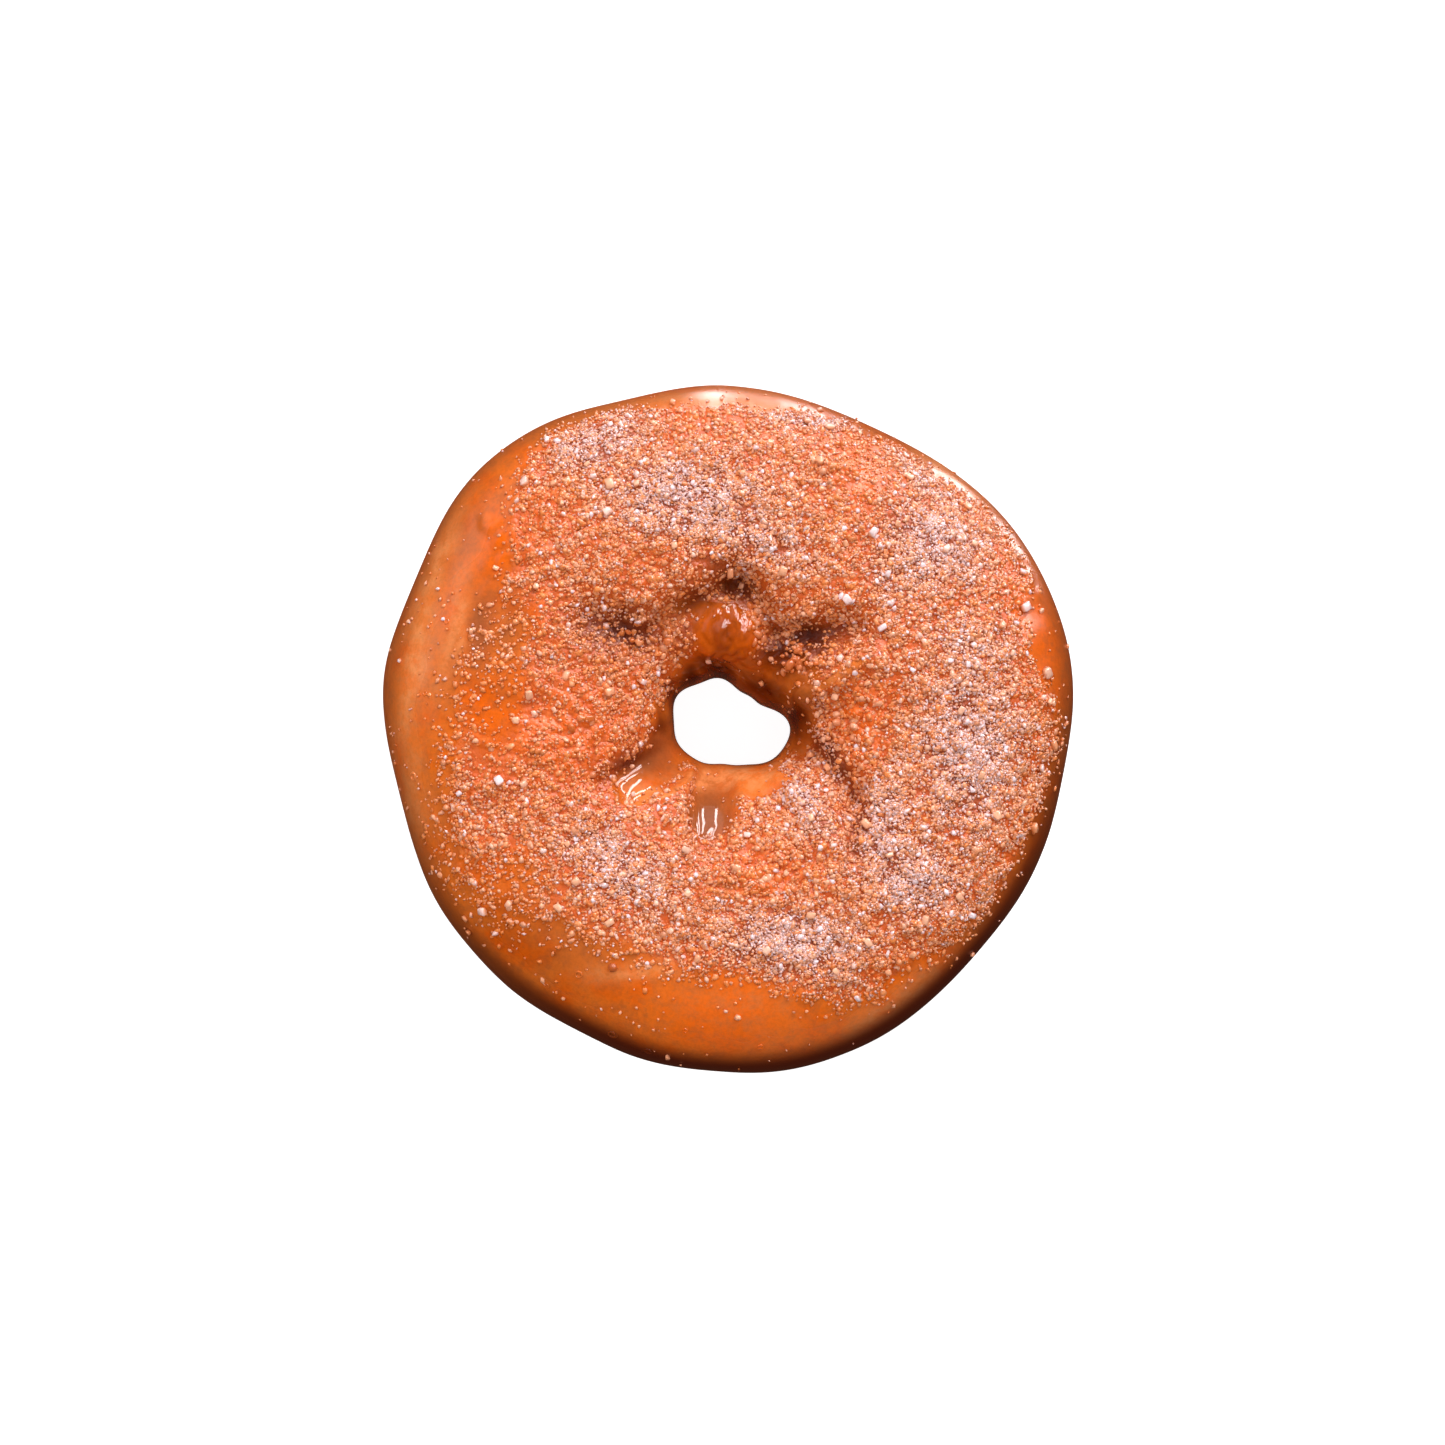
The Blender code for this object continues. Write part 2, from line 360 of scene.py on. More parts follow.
    def crust(self, angle: np.ndarray, turn: np.ndarray) -> tuple[np.ndarray, np.ndarray]:
        """Points of the crust as the solid has it, before the finest relief.

        Args:
            angle: Angles round the ring in radians.
            turn: Turns round the section in radians.

        Returns:
            The points, and the ways out of the smooth ring there.
        """
        points, normals = self.section(angle, turn)
        x, y = points[:, 0], points[:, 1]
        top = smooth_step(normals[:, 2], *self.top_facing)
        raised = self.swell_height * noise_at(points, self.swell_length)
        crags = self.crag_height * noise_at(points, self.crag_length) * self.sugar_cover(x, y)
        raised += top * (crags - self.fold_depth(x, y))
        return points + normals * raised[:, None], normals


@dataclass
class SurfaceMap:
    """Where the sugar lies thick, thin or dry, and where the glaze is hot, brown, pale or dark; the dark is
    painted shade with some dark pooled glaze, and some pale and brown patches are painted highlight and
    painted reflection.
    """

    shape: RingShape
    fray_reach: float = 1.0 * MM
    fray_length: float = 3.4 * MM
    band_height: float = 12.0 * MM
    band_width: float = 3.6 * MM
    band_strength: float = 0.75
    band_waver: float = 1.5 * MM
    band_waver_length: float = 9 * MM
    band_reach: tuple[float, float] = (30 * MM, 40 * MM)
    side_strength: float = 0.42
    side_facing: tuple[float, float] = (0.66, 0.97)
    dark_angle: float = -75  # the way that the rim's darkest fry and painted shade face, turned from the light, in degrees from +X
    dark_spread: tuple[float, float] = (0.35, 0.95)
    dark_heights: tuple[float, float] = (10 * MM, 15.5 * MM)
    dark_facing: tuple[float, float] = (0.62, 0.90)
    upward: tuple[float, float] = (0.12, 0.55)  # where sugar starts to lie, and where it lies fully
    in_sight: tuple[float, float] = (-0.5, 0.0)
    satin_reach: tuple[float, float] = (36 * MM, 41 * MM)
    bare_edge: tuple[float, float] = (0.7, 1.2)
    sugar_fade: tuple[float, ...] = (1.6, 1.5, 1.5, 1.6, 1.4, 2.0, 3.2, 4.6, 5.0, 3.5, 2.6, 2.0)
    wrinkled: tuple[Patch, ...] = (
        Patch((-0.6, 12.2), (4.2, 4.0)),
        Patch((8.4, 8.8), (4.6, 3.2), 20, 0.9),
        Patch((16.0, 1.5), (3.6, 5.6), 0, 0.8),
        Patch((5.0, -19.0), (7.0, 4.4)),
        Patch((-13.5, 9.5), (5.0, 3.0), 0, 0.6),
        Patch((-22.0, 0.0), (7.0, 7.0), 0, 0.5),
        Patch((-27.0, 22.0), (3.6, 6.0), -20, 0.5),
        Patch((13.0, 34.0), (8.0, 3.6), -25, 0.6),
        Patch((-30.0, 25.5), (3.0, 3.0), 0, 0.6),
        Patch((-6.0, 36.0), (7.0, 3.0), 10, 0.5),
    )
    bare: tuple[Patch, ...] = (
        Patch((-10.0, -5.2), (6.2, 2.6), 38),
        Patch((-9.6, -8.4), (4.2, 0.8), 17, 0.8),
        Patch((-1.9, -9.4), (3.4, 5.0), -4),
        Patch((0.8, -6.3), (8.2, 1.9)),
        Patch((4.9, -7.0), (3.4, 2.2), 20),
        Patch((-0.5, 12.0), (4.8, 4.4)),
        Patch((-8.4, -1.2), (2.3, 5.4), 8, 0.95),
        Patch((-4.4, 7.9), (3.0, 1.6), 30, 0.95),
        Patch((3.6, 7.0), (5.8, 1.9), -32, 0.95),
        Patch((8.0, 7.6), (3.6, 2.2), -20, 0.75),
        Patch((13.4, 6.5), (4.8, 0.9), 34, 0.75),
        Patch((9.4, 1.4), (1.9, 5.0), 0, 0.9),
        Patch((41.4, 10.8), (3.0, 8.4), 14, 0.95),
        Patch((4.2, 4.4), (5.2, 1.7), -36),
    )
    thin: tuple[Patch, ...] = (
        Patch((-21.5, 1.0), (6.4, 8.5), 0, 0.40),
        Patch((-30.4, 20.0), (3.4, 6.0), -15, 0.95),
        Patch((-30.0, 6.0), (5.5, 11.0), 0, 0.82),
        Patch((-27.0, -19.0), (8.0, 6.0), -30, 0.60),
        Patch((17.8, 32.0), (3.0, 6.5), 25, 0.5),
        Patch((18.5, 18.0), (2.6, 6.0), -10, 0.35),
        Patch((16.0, 1.5), (3.2, 5.6), 0, 0.3),
        Patch((0.0, -35.0), (9.0, 3.6), 0, 0.7),
        Patch((-3.5, 8.6), (5.0, 2.2), 10, 0.7),
        Patch((-6.4, 15.4), (3.0, 2.4), 0, 0.6),
        Patch((-28.0, 12.0), (4.5, 8.0), -8, 0.8),
        Patch((5.5, -19.0), (7.0, 4.0), 0, 0.2),
        Patch((24.0, -32.0), (12.0, 3.0), 40, 0.6),
        Patch((37.6, 14.0), (2.4, 8.0), 17, 0.6),
    )
    # Drifts of dry white sugar. The two thin patches along the top rim whiten the grains there into a painted
    # highlight line as well.
    white: tuple[Patch, ...] = (
        Patch((-5.1, 29.3), (10.0, 5.0), -8),
        Patch((2.5, 24.5), (8.0, 3.6), -20, 0.7),
        Patch((25.7, 23.4), (7.0, 5.0), -25),
        Patch((20.0, 19.0), (4.0, 5.0), 0, 0.6),
        Patch((31.0, 10.0), (6.0, 5.0), 0, 0.6),
        Patch((30.3, -3.0), (6.6, 10.0)),
        Patch((19.8, -13.4), (3.4, 8.0), -5),
        Patch((23.5, -19.0), (6.4, 6.0), 0, 0.9),
        Patch((8.0, -27.0), (9.0, 4.6), -5),
        Patch((-14.3, -17.3), (7.4, 4.0), -35, 0.8),
        Patch((9.8, -9.8), (2.2, 5.2), 32),
        Patch((-16.9, 36.5), (7.0, 3.0), 22),
        Patch((10.0, 39.5), (8.0, 0.9), -5, 0.9),
        Patch((25.5, 31.0), (5.0, 1.2), -38, 0.9),
        Patch((-14.5, 12.8), (4.0, 1.6), -15, 0.5),
        Patch((12.4, -3.0), (1.8, 5.0), 15, 0.5),
    )
    hot: tuple[Patch, ...] = (
        Patch((-30.2, 22.0), (4.0, 7.0), -15),
        Patch((-24.5, 26.0), (5.0, 7.0), -20, 0.65),
        Patch((-23.5, 34.5), (5.0, 2.5), 20, 0.5),
        Patch((-11.0, 21.6), (9.0, 2.4), 0, 0.5),
        Patch((-23.8, 15.5), (3.0, 3.4), 0, 0.8),
        Patch((-19.5, -1.0), (6.8, 8.0)),
        Patch((-27.2, 0.0), (7.0, 6.0), 0, 0.9),
        Patch((16.6, 1.0), (4.4, 5.4), 0, 0.95),
        Patch((17.5, 19.0), (3.0, 6.0), 0, 0.6),
        Patch((22.0, -30.0), (6.0, 4.0), 35, 0.6),
        Patch((35.0, 17.0), (3.0, 6.0), 15, 0.5),
        Patch((17.5, 31.0), (3.0, 7.0), 25, 0.8),
        Patch((0.5, -36.0), (11.0, 5.0)),
        Patch((-12.0, -35.0), (9.0, 3.6), -15, 0.3),
        Patch((40.8, 11.6), (3.8, 10.0), 15),
        Patch((4.6, -19.0), (6.6, 3.6), 0, 0.8),
        Patch((-3.5, 39.0), (9.0, 1.6), 5, 0.5),
        Patch((-0.5, 12.0), (5.2, 4.8)),
        Patch((0.8, -6.6), (9.0, 1.6), 0, 0.8),
    )
    # Paler glaze. The patches on the lips of the hole and along the top rim are also painted highlight, where
    # those slopes face the light.
    pale: tuple[Patch, ...] = (
        Patch((-40.0, 9.0), (1.5, 12.0), -10, 0.9),
        Patch((-38.2, 20.0), (1.3, 8.0), -24, 0.8),
        Patch((-35.6, 12.0), (1.0, 8.0), -12, 0.55),
        Patch((-40.5, -8.0), (1.6, 8.0), 8, 0.6),
        Patch((-11.6, -31.0), (6.0, 1.0), 4, 0.7),
        Patch((22.0, -35.5), (9.0, 1.8), 34, 0.7),
        Patch((-34.3, 13.4), (1.0, 4.5), -8, 0.7),
        Patch((4.6, -6.8), (2.8, 1.6), 20),
        Patch((-4.2, -6.8), (2.2, 1.2), -20),
        Patch((-9.6, -8.4), (4.2, 0.9), 17, 0.8),
        Patch((0.5, -6.4), (7.5, 1.3)),
        Patch((13.6, 6.6), (5.2, 1.0), 34, 0.6),
        Patch((34.5, -27.0), (5.0, 1.6), 54, 0.5),
        Patch((-4.0, 42.2), (14.0, 1.6), 2, 0.4),
        Patch((2.0, -35.0), (9.0, 3.6), 0, 0.2),
        Patch((28.0, 33.5), (7.0, 1.4), -42, 0.7),
    )
    # Browner glaze. The patches on the left band also stand for the brownish-grey sheen that the glaze
    # mirrors there, a painted reflection.
    brown: tuple[Patch, ...] = (
        Patch((-34.5, 11.0), (2.2, 10.0), -14, 0.45),
        Patch((-27.5, 14.0), (2.0, 9.0), -10, 0.55),
        Patch((-39.5, 22.0), (2.6, 9.0), -28, 0.45),
        Patch((-20.0, -27.0), (9.0, 5.0), -40, 0.35),
        Patch((-2.4, -11.2), (3.6, 5.2)),
        Patch((-9.0, -2.6), (2.8, 4.6), 10, 0.75),
        Patch((-10.6, -4.2), (3.8, 2.2), 38, 0.95),
        Patch((32.0, -24.0), (8.0, 2.4), 50, 0.4),
        Patch((-36.0, -12.0), (2.0, 6.0), 20, 0.3),
        Patch((-31.4, 12.5), (2.2, 6.0), -6),
        Patch((-34.0, 25.0), (2.2, 6.0), -25, 0.45),
    )
    # Painted shade in creases, pits and on the walls of the hole, with some dark pooled glaze, as on the
    # bulge.
    dark_glaze_and_shade: tuple[Patch, ...] = (
        Patch((0.8, 18.2), (5.2, 2.9), -35, 0.85),
        Patch((-4.0, 16.2), (5.0, 2.6), 28, 0.75),
        Patch((-5.6, 12.0), (2.2, 3.6), -20, 0.55),
        Patch((-14.0, 12.4), (6.0, 3.1), -10, 0.95),
        Patch((9.8, 11.2), (6.6, 2.8), 8),
        Patch((7.2, 9.2), (4.4, 3.6)),
        Patch((-27.0, -27.0), (9.0, 4.0), -48, 0.22),
        Patch((9.1, 1.4), (2.1, 4.8)),
        Patch((4.6, 4.9), (6.0, 2.6), -36),
        Patch((-1.4, 7.3), (4.4, 2.3), -8),
        Patch((-5.0, 6.6), (3.2, 1.5), 32),
        Patch((-0.6, 12.2), (5.4, 5.0), 0, 0.62),
        Patch((12.4, -3.2), (7.0, 1.6), -53, 0.85),
        Patch((16.2, -12.0), (1.6, 5.4), 0, 0.6),
        Patch((-12.6, -4.1), (4.6, 1.1), 34, 0.9),
        Patch((-7.0, 4.6), (1.2, 2.6), 20, 0.8),
        Patch((-8.5, 0.8), (1.0, 1.6), 0, 0.7),
    )

    def frayed(self, points: np.ndarray) -> tuple[np.ndarray, np.ndarray]:
        """Places moved a little to and fro, so that the edge of whatever lies there is uneven.

        Args:
            points: Points of the crust.

        Returns:
            Their places along X and Y.
        """
        apart = 7 * self.fray_length
        x = points[:, 0] + self.fray_reach * noise_at(points, self.fray_length)
        y = points[:, 1] + self.fray_reach * noise_at(points + apart, self.fray_length)
        return x, y

    def at(self, points: np.ndarray, normals: np.ndarray) -> Fields:
        """Reads the map.

        Args:
            points: Points of the crust.
            normals: The ways out of it.

        Returns:
            The cover, the strength of each finish, and how far the crust faces upwards, all from 0 to 1.
        """
        x, y = self.frayed(points)
        up = smooth_step(normals[:, 2], *self.upward)
        seen = smooth_step(normals[:, 2], *self.in_sight)
        rim = self.shape.by_the_hour(self.shape.sugar_edge, x, y) * MM
        fade = self.shape.by_the_hour(self.sugar_fade, x, y) * MM
        cover = 1 - smooth_step((np.hypot(x, y) - rim) / fade, -1, 1)
        cover *= 1 - patch_glow(self.thin, x, y)
        for patch in self.bare:
            cover *= 1 - patch.strength * (1 - smooth_step(patch_reach(patch, x, y), *self.bare_edge))
        return {
            "cover": cover * up,
            "up": up,
            "white": patch_glow(self.white, x, y) * up,
            "hot": patch_glow(self.hot, x, y) * seen,
            "brown": np.maximum(patch_glow(self.brown, x, y) * seen, self.browned_side(points, normals)),
            "pale": np.maximum(patch_glow(self.pale, x, y) * seen, self.proof_band(points)),
            "dark_glaze_and_shade": np.maximum(patch_glow(self.dark_glaze_and_shade, x, y) * seen, self.browned_and_shaded_rim(points, normals)),
            "rim": smooth_step(np.hypot(x, y), *self.satin_reach),
        }

    def browned_side(self, points: np.ndarray, normals: np.ndarray) -> np.ndarray:
        """The brown fry of the side, below the shoulder.

        Args:
            points: Points of the crust.
            normals: The ways out of it.

        Returns:
            A strength from 0 to 1 for each point.
        """
        _, outwards = facing_out(points, normals)
        return self.side_strength * smooth_step(outwards, *self.side_facing)

    def proof_band(self, points: np.ndarray) -> np.ndarray:
        """The paler band round the middle of the side, which stood out of the fat.

        Args:
            points: Points of the crust.

        Returns:
            A strength from 0 to 1 for each point.
        """
        height = points[:, 2] + self.band_waver * noise_at(points, self.band_waver_length)
        band = np.exp(-(((height - self.band_height) / self.band_width) ** 2))
        return self.band_strength * band * smooth_step(np.hypot(points[:, 0], points[:, 1]), *self.band_reach)

    def browned_and_shaded_rim(self, points: np.ndarray, normals: np.ndarray) -> np.ndarray:
        """Painted shade on the rim where it turns from the light, with the darkest fry, on the upper side at
        the bottom and lower right of the outline.

        Args:
            points: Points of the crust.
            normals: The ways out of it.

        Returns:
            A strength from 0 to 1 for each point.
        """
        angle, outwards = facing_out(points, normals)
        facing = 0.5 + 0.5 * np.cos(angle - math.radians(self.dark_angle))
        upper = smooth_step(points[:, 2], *self.dark_heights)
        return upper * smooth_step(outwards, *self.dark_facing) * smooth_step(facing, *self.dark_spread)


@dataclass
class Camera:
    """The camera straight above the doughnut, framed as the photograph is."""

    lens: float = 85.0
    sensor: float = 36.0
    aim_height: float = 14.5 * MM

    def build(self) -> bpy.types.Object:
        """Makes the camera and makes it the scene's.

        Returns:
            The camera object.
        """
        per_pixel = REAL_WIDTH / PHOTO_WIDTH
        data = bpy.data.cameras.new("camera")
        data.lens = self.lens
        data.sensor_width = self.sensor
        camera = bpy.data.objects.new("camera", data)
        distance = PHOTO_SIDE * per_pixel * self.lens / self.sensor
        middle_x, middle_y = PHOTO_MIDDLE
        camera.location = (
            (PHOTO_SIDE / 2 - middle_x) * per_pixel,
            (middle_y - PHOTO_SIDE / 2) * per_pixel,
            self.aim_height + distance,
        )
        bpy.context.scene.collection.objects.link(camera)
        bpy.context.scene.camera = camera
        return camera


class Graph:
    """A node graph, with short ways to add the nodes that food needs."""

    def __init__(self, tree: bpy.types.NodeTree, coordinate: str = "Object") -> None:
        """Starts on a tree, with patterns that follow one of Blender's coordinates."""
        self.tree = tree
        self.place = tree.nodes.new("ShaderNodeTexCoord").outputs[coordinate]

    def put(self, socket: bpy.types.NodeSocket, value: object) -> None:
        """Sets a socket to a number or a colour, or links another socket to it."""
        if isinstance(value, bpy.types.NodeSocket):
            self.tree.links.new(value, socket)
        else:
            socket.default_value = value

    def attribute(self, name: str) -> bpy.types.NodeSocket:
        """The number that the mesh keeps under a name."""
        node = self.tree.nodes.new("ShaderNodeAttribute")
        node.attribute_name = name
        return node.outputs["Fac"]

    def split(self, vector: bpy.types.NodeSocket) -> tuple[bpy.types.NodeSocket, ...]:
        """The three numbers of a vector or a colour."""
        node = self.tree.nodes.new("ShaderNodeSeparateXYZ")
        self.put(node.inputs[0], vector)
        return tuple(node.outputs)

    def mottle(self, size: float, detail: float = 2.0, roughness: float = 0.5) -> bpy.types.NodeSocket:
        """Noise from 0 to 1.

        Args:
            size: The size of the blotches in metres.
            detail: How many finer layers lie on them.
            roughness: How strong those are.

        Returns:
            The noise.
        """
        node = self.tree.nodes.new("ShaderNodeTexNoise")
        self.put(node.inputs["Vector"], self.place)
        node.inputs["Scale"].default_value = 1 / size
        node.inputs["Detail"].default_value = detail
        node.inputs["Roughness"].default_value = roughness
        return node.outputs["Fac"]

    def cells(self, size: float) -> tuple[bpy.types.NodeSocket, bpy.types.NodeSocket]:
        """Rounded cells, as packed grains.

        Args:
            size: The size of a cell in metres.

        Returns:
            The distance from a cell's middle, and a random number for each cell.
        """
        node = self.tree.nodes.new("ShaderNodeTexVoronoi")
        self.put(node.inputs["Vector"], self.place)
        node.inputs["Scale"].default_value = 1 / size
        return node.outputs["Distance"], self.split(node.outputs["Color"])[0]

    def sum(self, operation: str, first: object, second: object) -> bpy.types.NodeSocket:
        """One of Blender's sums on two numbers, kept from 0 to 1.

        Args:
            operation: The name of the sum, such as MULTIPLY.
            first: A number or a socket.
            second: A number or a socket.

        Returns:
            The result.
        """
        node = self.tree.nodes.new("ShaderNodeMath")
        node.operation = operation
        node.use_clamp = True
        self.put(node.inputs[0], first)
        self.put(node.inputs[1], second)
        return node.outputs[0]

    def stretch(self, value: object, low: float, high: float, start: float = 0, end: float = 1) -> object:
        """A smooth step of a value.

        Args:
            value: The value to judge.
            low: What gives the start.
            high: What gives the end.
            start: The result up to low.
            end: The result from high on.

        Returns:
            The result, as a socket.
        """
        node = self.tree.nodes.new("ShaderNodeMapRange")
        node.interpolation_type = "SMOOTHSTEP"
        self.put(node.inputs["Value"], value)
        node.inputs["From Min"].default_value = low
        node.inputs["From Max"].default_value = high
        node.inputs["To Min"].default_value = start
        node.inputs["To Max"].default_value = end
        return node.outputs["Result"]

    def blend(self, share: object, first: object, second: object, mode: str = "MIX") -> bpy.types.NodeSocket:
        """A mix of two colours.

        Args:
            share: How much of the second, from 0 to 1.
            first: A colour or a socket.
            second: A colour or a socket.
            mode: The way that they mix.

        Returns:
            The mixed colour.
        """
        node = self.tree.nodes.new("ShaderNodeMix")
        node.data_type = "RGBA"
        node.blend_type = mode
        amount, base, added = (
            next(socket for socket in node.inputs if socket.identifier == name)
            for name in ("Factor_Float", "A_Color", "B_Color")
        )
        self.put(amount, share)
        self.put(base, first)
        self.put(added, second)
        return next(socket for socket in node.outputs if socket.identifier == "Result_Color")

    def bump(self, height: object, distance: float, under: object = None) -> bpy.types.NodeSocket:
        """A bumped normal.

        Args:
            height: The relief, from 0 to 1.
            distance: How high 1 stands, in metres.
            under: A bumped normal that this one lies on.

        Returns:
            The normal.
        """
        node = self.tree.nodes.new("ShaderNodeBump")
        node.inputs["Distance"].default_value = distance
        self.put(node.inputs["Height"], height)
        if under is not None:
            self.put(node.inputs["Normal"], under)
        return node.outputs["Normal"]


class Finish(Graph):
    """A material under construction: a node graph with one Principled shader."""

    def __init__(self, name: str) -> None:
        """Starts the material."""
        self.material = bpy.data.materials.new(name)
        self.material.use_nodes = True
        super().__init__(self.material.node_tree)
        self.shader = self.tree.nodes["Principled BSDF"]

    def set(self, socket: str, value: object) -> None:
        """Sets or links one of the shader's sockets."""
        self.put(self.shader.inputs[socket], value)


@dataclass(frozen=True)
class DoughFinish:
    """Fried dough under a wet orange glaze, with a soaked sugar crust where the cover is thick."""

    amber: Colour = (0.78, 0.175, 0.018, 1)
    hot: Colour = (0.84, 0.135, 0.002, 1)
    fried: Colour = (0.34, 0.098, 0.032, 1)
    pale: Colour = (0.95, 0.34, 0.11, 1)
    # the colour of painted shade and of dark pooled glaze
    dark_glaze_and_shade: Colour = (0.085, 0.009, 0.001, 1)
    gap: Colour = (0.66, 0.110, 0.010, 1)
    dusk: Colour = (0.30, 0.060, 0.022, 1)
    soaked: Colour = (0.90, 0.27, 0.075, 1)
    blotch_size: float = 6 * MM
    streak_size: float = 1.6 * MM
    crumb_size: float = 0.5 * MM
    grain_size: float = 0.62 * MM
    crust_relief: float = 0.20 * MM
    ripple_size: float = 2.6 * MM
    ripple_height: float = 0.014 * MM
    wet_roughness: float = 0.06
    satin_roughness: float = 0.30
    crust_roughness: float = 0.45
    refraction: float = 1.47

    def material(self) -> bpy.types.Material:
        """Makes the material.

        Returns:
            The finished material.
        """
        graph = Finish("glazed_dough")
        crusty = graph.stretch(graph.attribute("cover"), 0.25, 0.8)
        blotches = graph.mottle(self.blotch_size, 3, 0.55)
        streaks = graph.mottle(self.streak_size, 4, 0.65)
        fibres = graph.stretch(streaks, 0.36, 0.62, 0.4, 1)
        glaze = graph.blend(graph.stretch(blotches, 0.42, 0.68), self.amber, self.hot)
        glaze = graph.blend(graph.attribute("hot"), glaze, self.hot)
        glaze = graph.blend(graph.stretch(streaks, 0.40, 0.72, 0, 0.42), glaze, self.fried)
        # Browner glaze, with a painted reflection of a dim sheen on the left band.
        glaze = graph.blend(graph.attribute("brown"), glaze, self.fried)
        # Paler glaze, and painted highlight on the lips of the hole and along the top rim.
        glaze = graph.blend(graph.sum("MULTIPLY", graph.attribute("pale"), fibres), glaze, self.pale)
        grain = graph.stretch(graph.mottle(self.crumb_size, 3, 0.7), 0.3, 0.65, 0.86, 1.0)
        glaze = graph.blend(1.0, glaze, grain, "MULTIPLY")
        distance, chance = graph.cells(self.grain_size)
        crust = graph.blend(graph.stretch(chance, 0.2, 0.8), self.gap, self.soaked)
        crust = graph.blend(graph.stretch(distance, 0.4, 0.75), crust, self.gap)
        crust = graph.blend(graph.stretch(graph.attribute("hot"), 0, 1, 0, 0.75), crust, self.hot)
        # Painted shade: the valleys between lumps and wrinkles take the gap colour.
        crust = graph.blend(graph.stretch(graph.attribute("dip"), 0.15, 0.8), self.gap, crust)
        crust = graph.blend(graph.stretch(graph.attribute("white"), 0.1, 0.8, 0, 0.75), crust, self.dusk)
        base = graph.blend(crusty, glaze, crust)
        # Painted shade in creases, pits, hole walls and on the rim turned from the light, with dark pooled
        # glaze.
        base = graph.blend(graph.attribute("dark_glaze_and_shade"), base, self.dark_glaze_and_shade)
        graph.set("Base Color", base)
        rough = graph.stretch(crusty, 0, 1, self.wet_roughness, self.crust_roughness)
        satin = graph.stretch(graph.attribute("rim"), 0, 1, 0, self.satin_roughness)
        graph.set("Roughness", graph.sum("MAXIMUM", rough, satin))
        ripples = graph.bump(graph.mottle(self.ripple_size, 2), self.ripple_height)
        relief = graph.sum("MULTIPLY", graph.sum("SUBTRACT", 1.0, distance), crusty)
        graph.set("Normal", graph.bump(relief, self.crust_relief, ripples))
        graph.set("IOR", self.refraction)
        return graph.material


@dataclass(frozen=True)
class SugarFinish:
    """Sugar crystals, from soaked with orange glaze to dry and white, and darker as their shade number falls,
    which is partly random tone and partly painted shade.
    """

    name: str
    # the colour that a grain goes to as its shade falls: dull soaked sugar, and painted shade at a grain's
    # foot and in creases
    sodden_and_shaded: Colour = (0.48, 0.105, 0.022, 1)
    soaked: Colour = (0.95, 0.31, 0.085, 1)
    peach: Colour = (1.0, 0.54, 0.34, 1)
    dry: Colour = (1.0, 0.89, 0.98, 1)
    roughness: float = 0.28
    refraction: float = 1.54

    def material(self) -> bpy.types.Material:
        """Makes the material.

        Returns:
            The finished material.
        """
        graph = Finish(self.name)
        white, shade = graph.attribute("white"), graph.attribute("shade")
        colour = graph.blend(graph.stretch(white, 0.0, 0.5), self.soaked, self.peach)
        colour = graph.blend(graph.stretch(white, 0.5, 1.0), colour, self.dry)
        clouds = graph.stretch(graph.mottle(0.35 * MM, 2), 0.3, 0.7, 0.85, 1.0)
        # Painted shade: the grain goes to the dark soaked colour as its shade number falls, which is random
        # tone and also painted shade at its foot and in creases.
        colour = graph.blend(graph.sum("MULTIPLY", shade, clouds), self.sodden_and_shaded, colour)
        graph.set("Base Color", colour)
        graph.set("Roughness", self.roughness)
        graph.set("IOR", self.refraction)
        return graph.material


@dataclass(frozen=True)
class FloorFinish:
    """A plain pale table top."""

    colour: Colour = (0.5, 0.5, 0.5, 1)
    glow: float = 0.93

    def material(self) -> bpy.types.Material:
        """Makes the material.

        Returns:
            The finished material.
        """
        graph = Finish("pale_floor")
        graph.set("Base Color", self.colour)
        graph.set("Roughness", 0.8)
        graph.set("Emission Color", (1, 1, 1, 1))
        graph.set("Emission Strength", self.glow)
        return graph.material


def faces_in_order(made: bmesh.types.BMesh) -> list[list[int]]:
    """The corners of every face, in an order that is the same in each run. The order of bmesh's own isn't.

    Args:
        made: What bmesh has made.

    Returns:
        The numbers of the points of each face, from its lowest on.
    """
    made.verts.index_update()
    faces = []
    for face in made.faces:
        corners = [vertex.index for vertex in face.verts]
        first = corners.index(min(corners))
        faces.append(corners[first:] + corners[:first])
    return sorted(faces)


def mesh_of(name: str, made: bmesh.types.BMesh) -> bpy.types.Mesh:
    """The mesh of what bmesh has made, which is freed."""
    mesh = bpy.data.meshes.new(name)
    mesh.from_pydata([vertex.co[:] for vertex in made.verts], [], faces_in_order(made))
    made.free()
    return mesh


def keep_values(mesh: bpy.types.Mesh, values: Fields) -> None:
    """Keeps numbers on the points of a mesh, for its material to read."""
    for name, value in values.items():
        kept = mesh.attributes.new(name, "FLOAT", "POINT")
        kept.data.foreach_set("value", value.astype(np.float32).ravel())


def spin_round(
    made: bmesh.types.BMesh, edges: list[bmesh.types.BMEdge], centre: Vector, axis: Vector, steps: int
) -> None:
    """Sweeps edges a full turn round an axis, and closes the seam.

    Args:
        made: What the edges are part of.
        edges: The edges.
        centre: A point of the axis.
        axis: Its direction.
        steps: How many faces go round.
    """
    bmesh.ops.spin(made, geom=edges, cent=centre, axis=axis, angle=math.tau, steps=steps, use_merge=True)


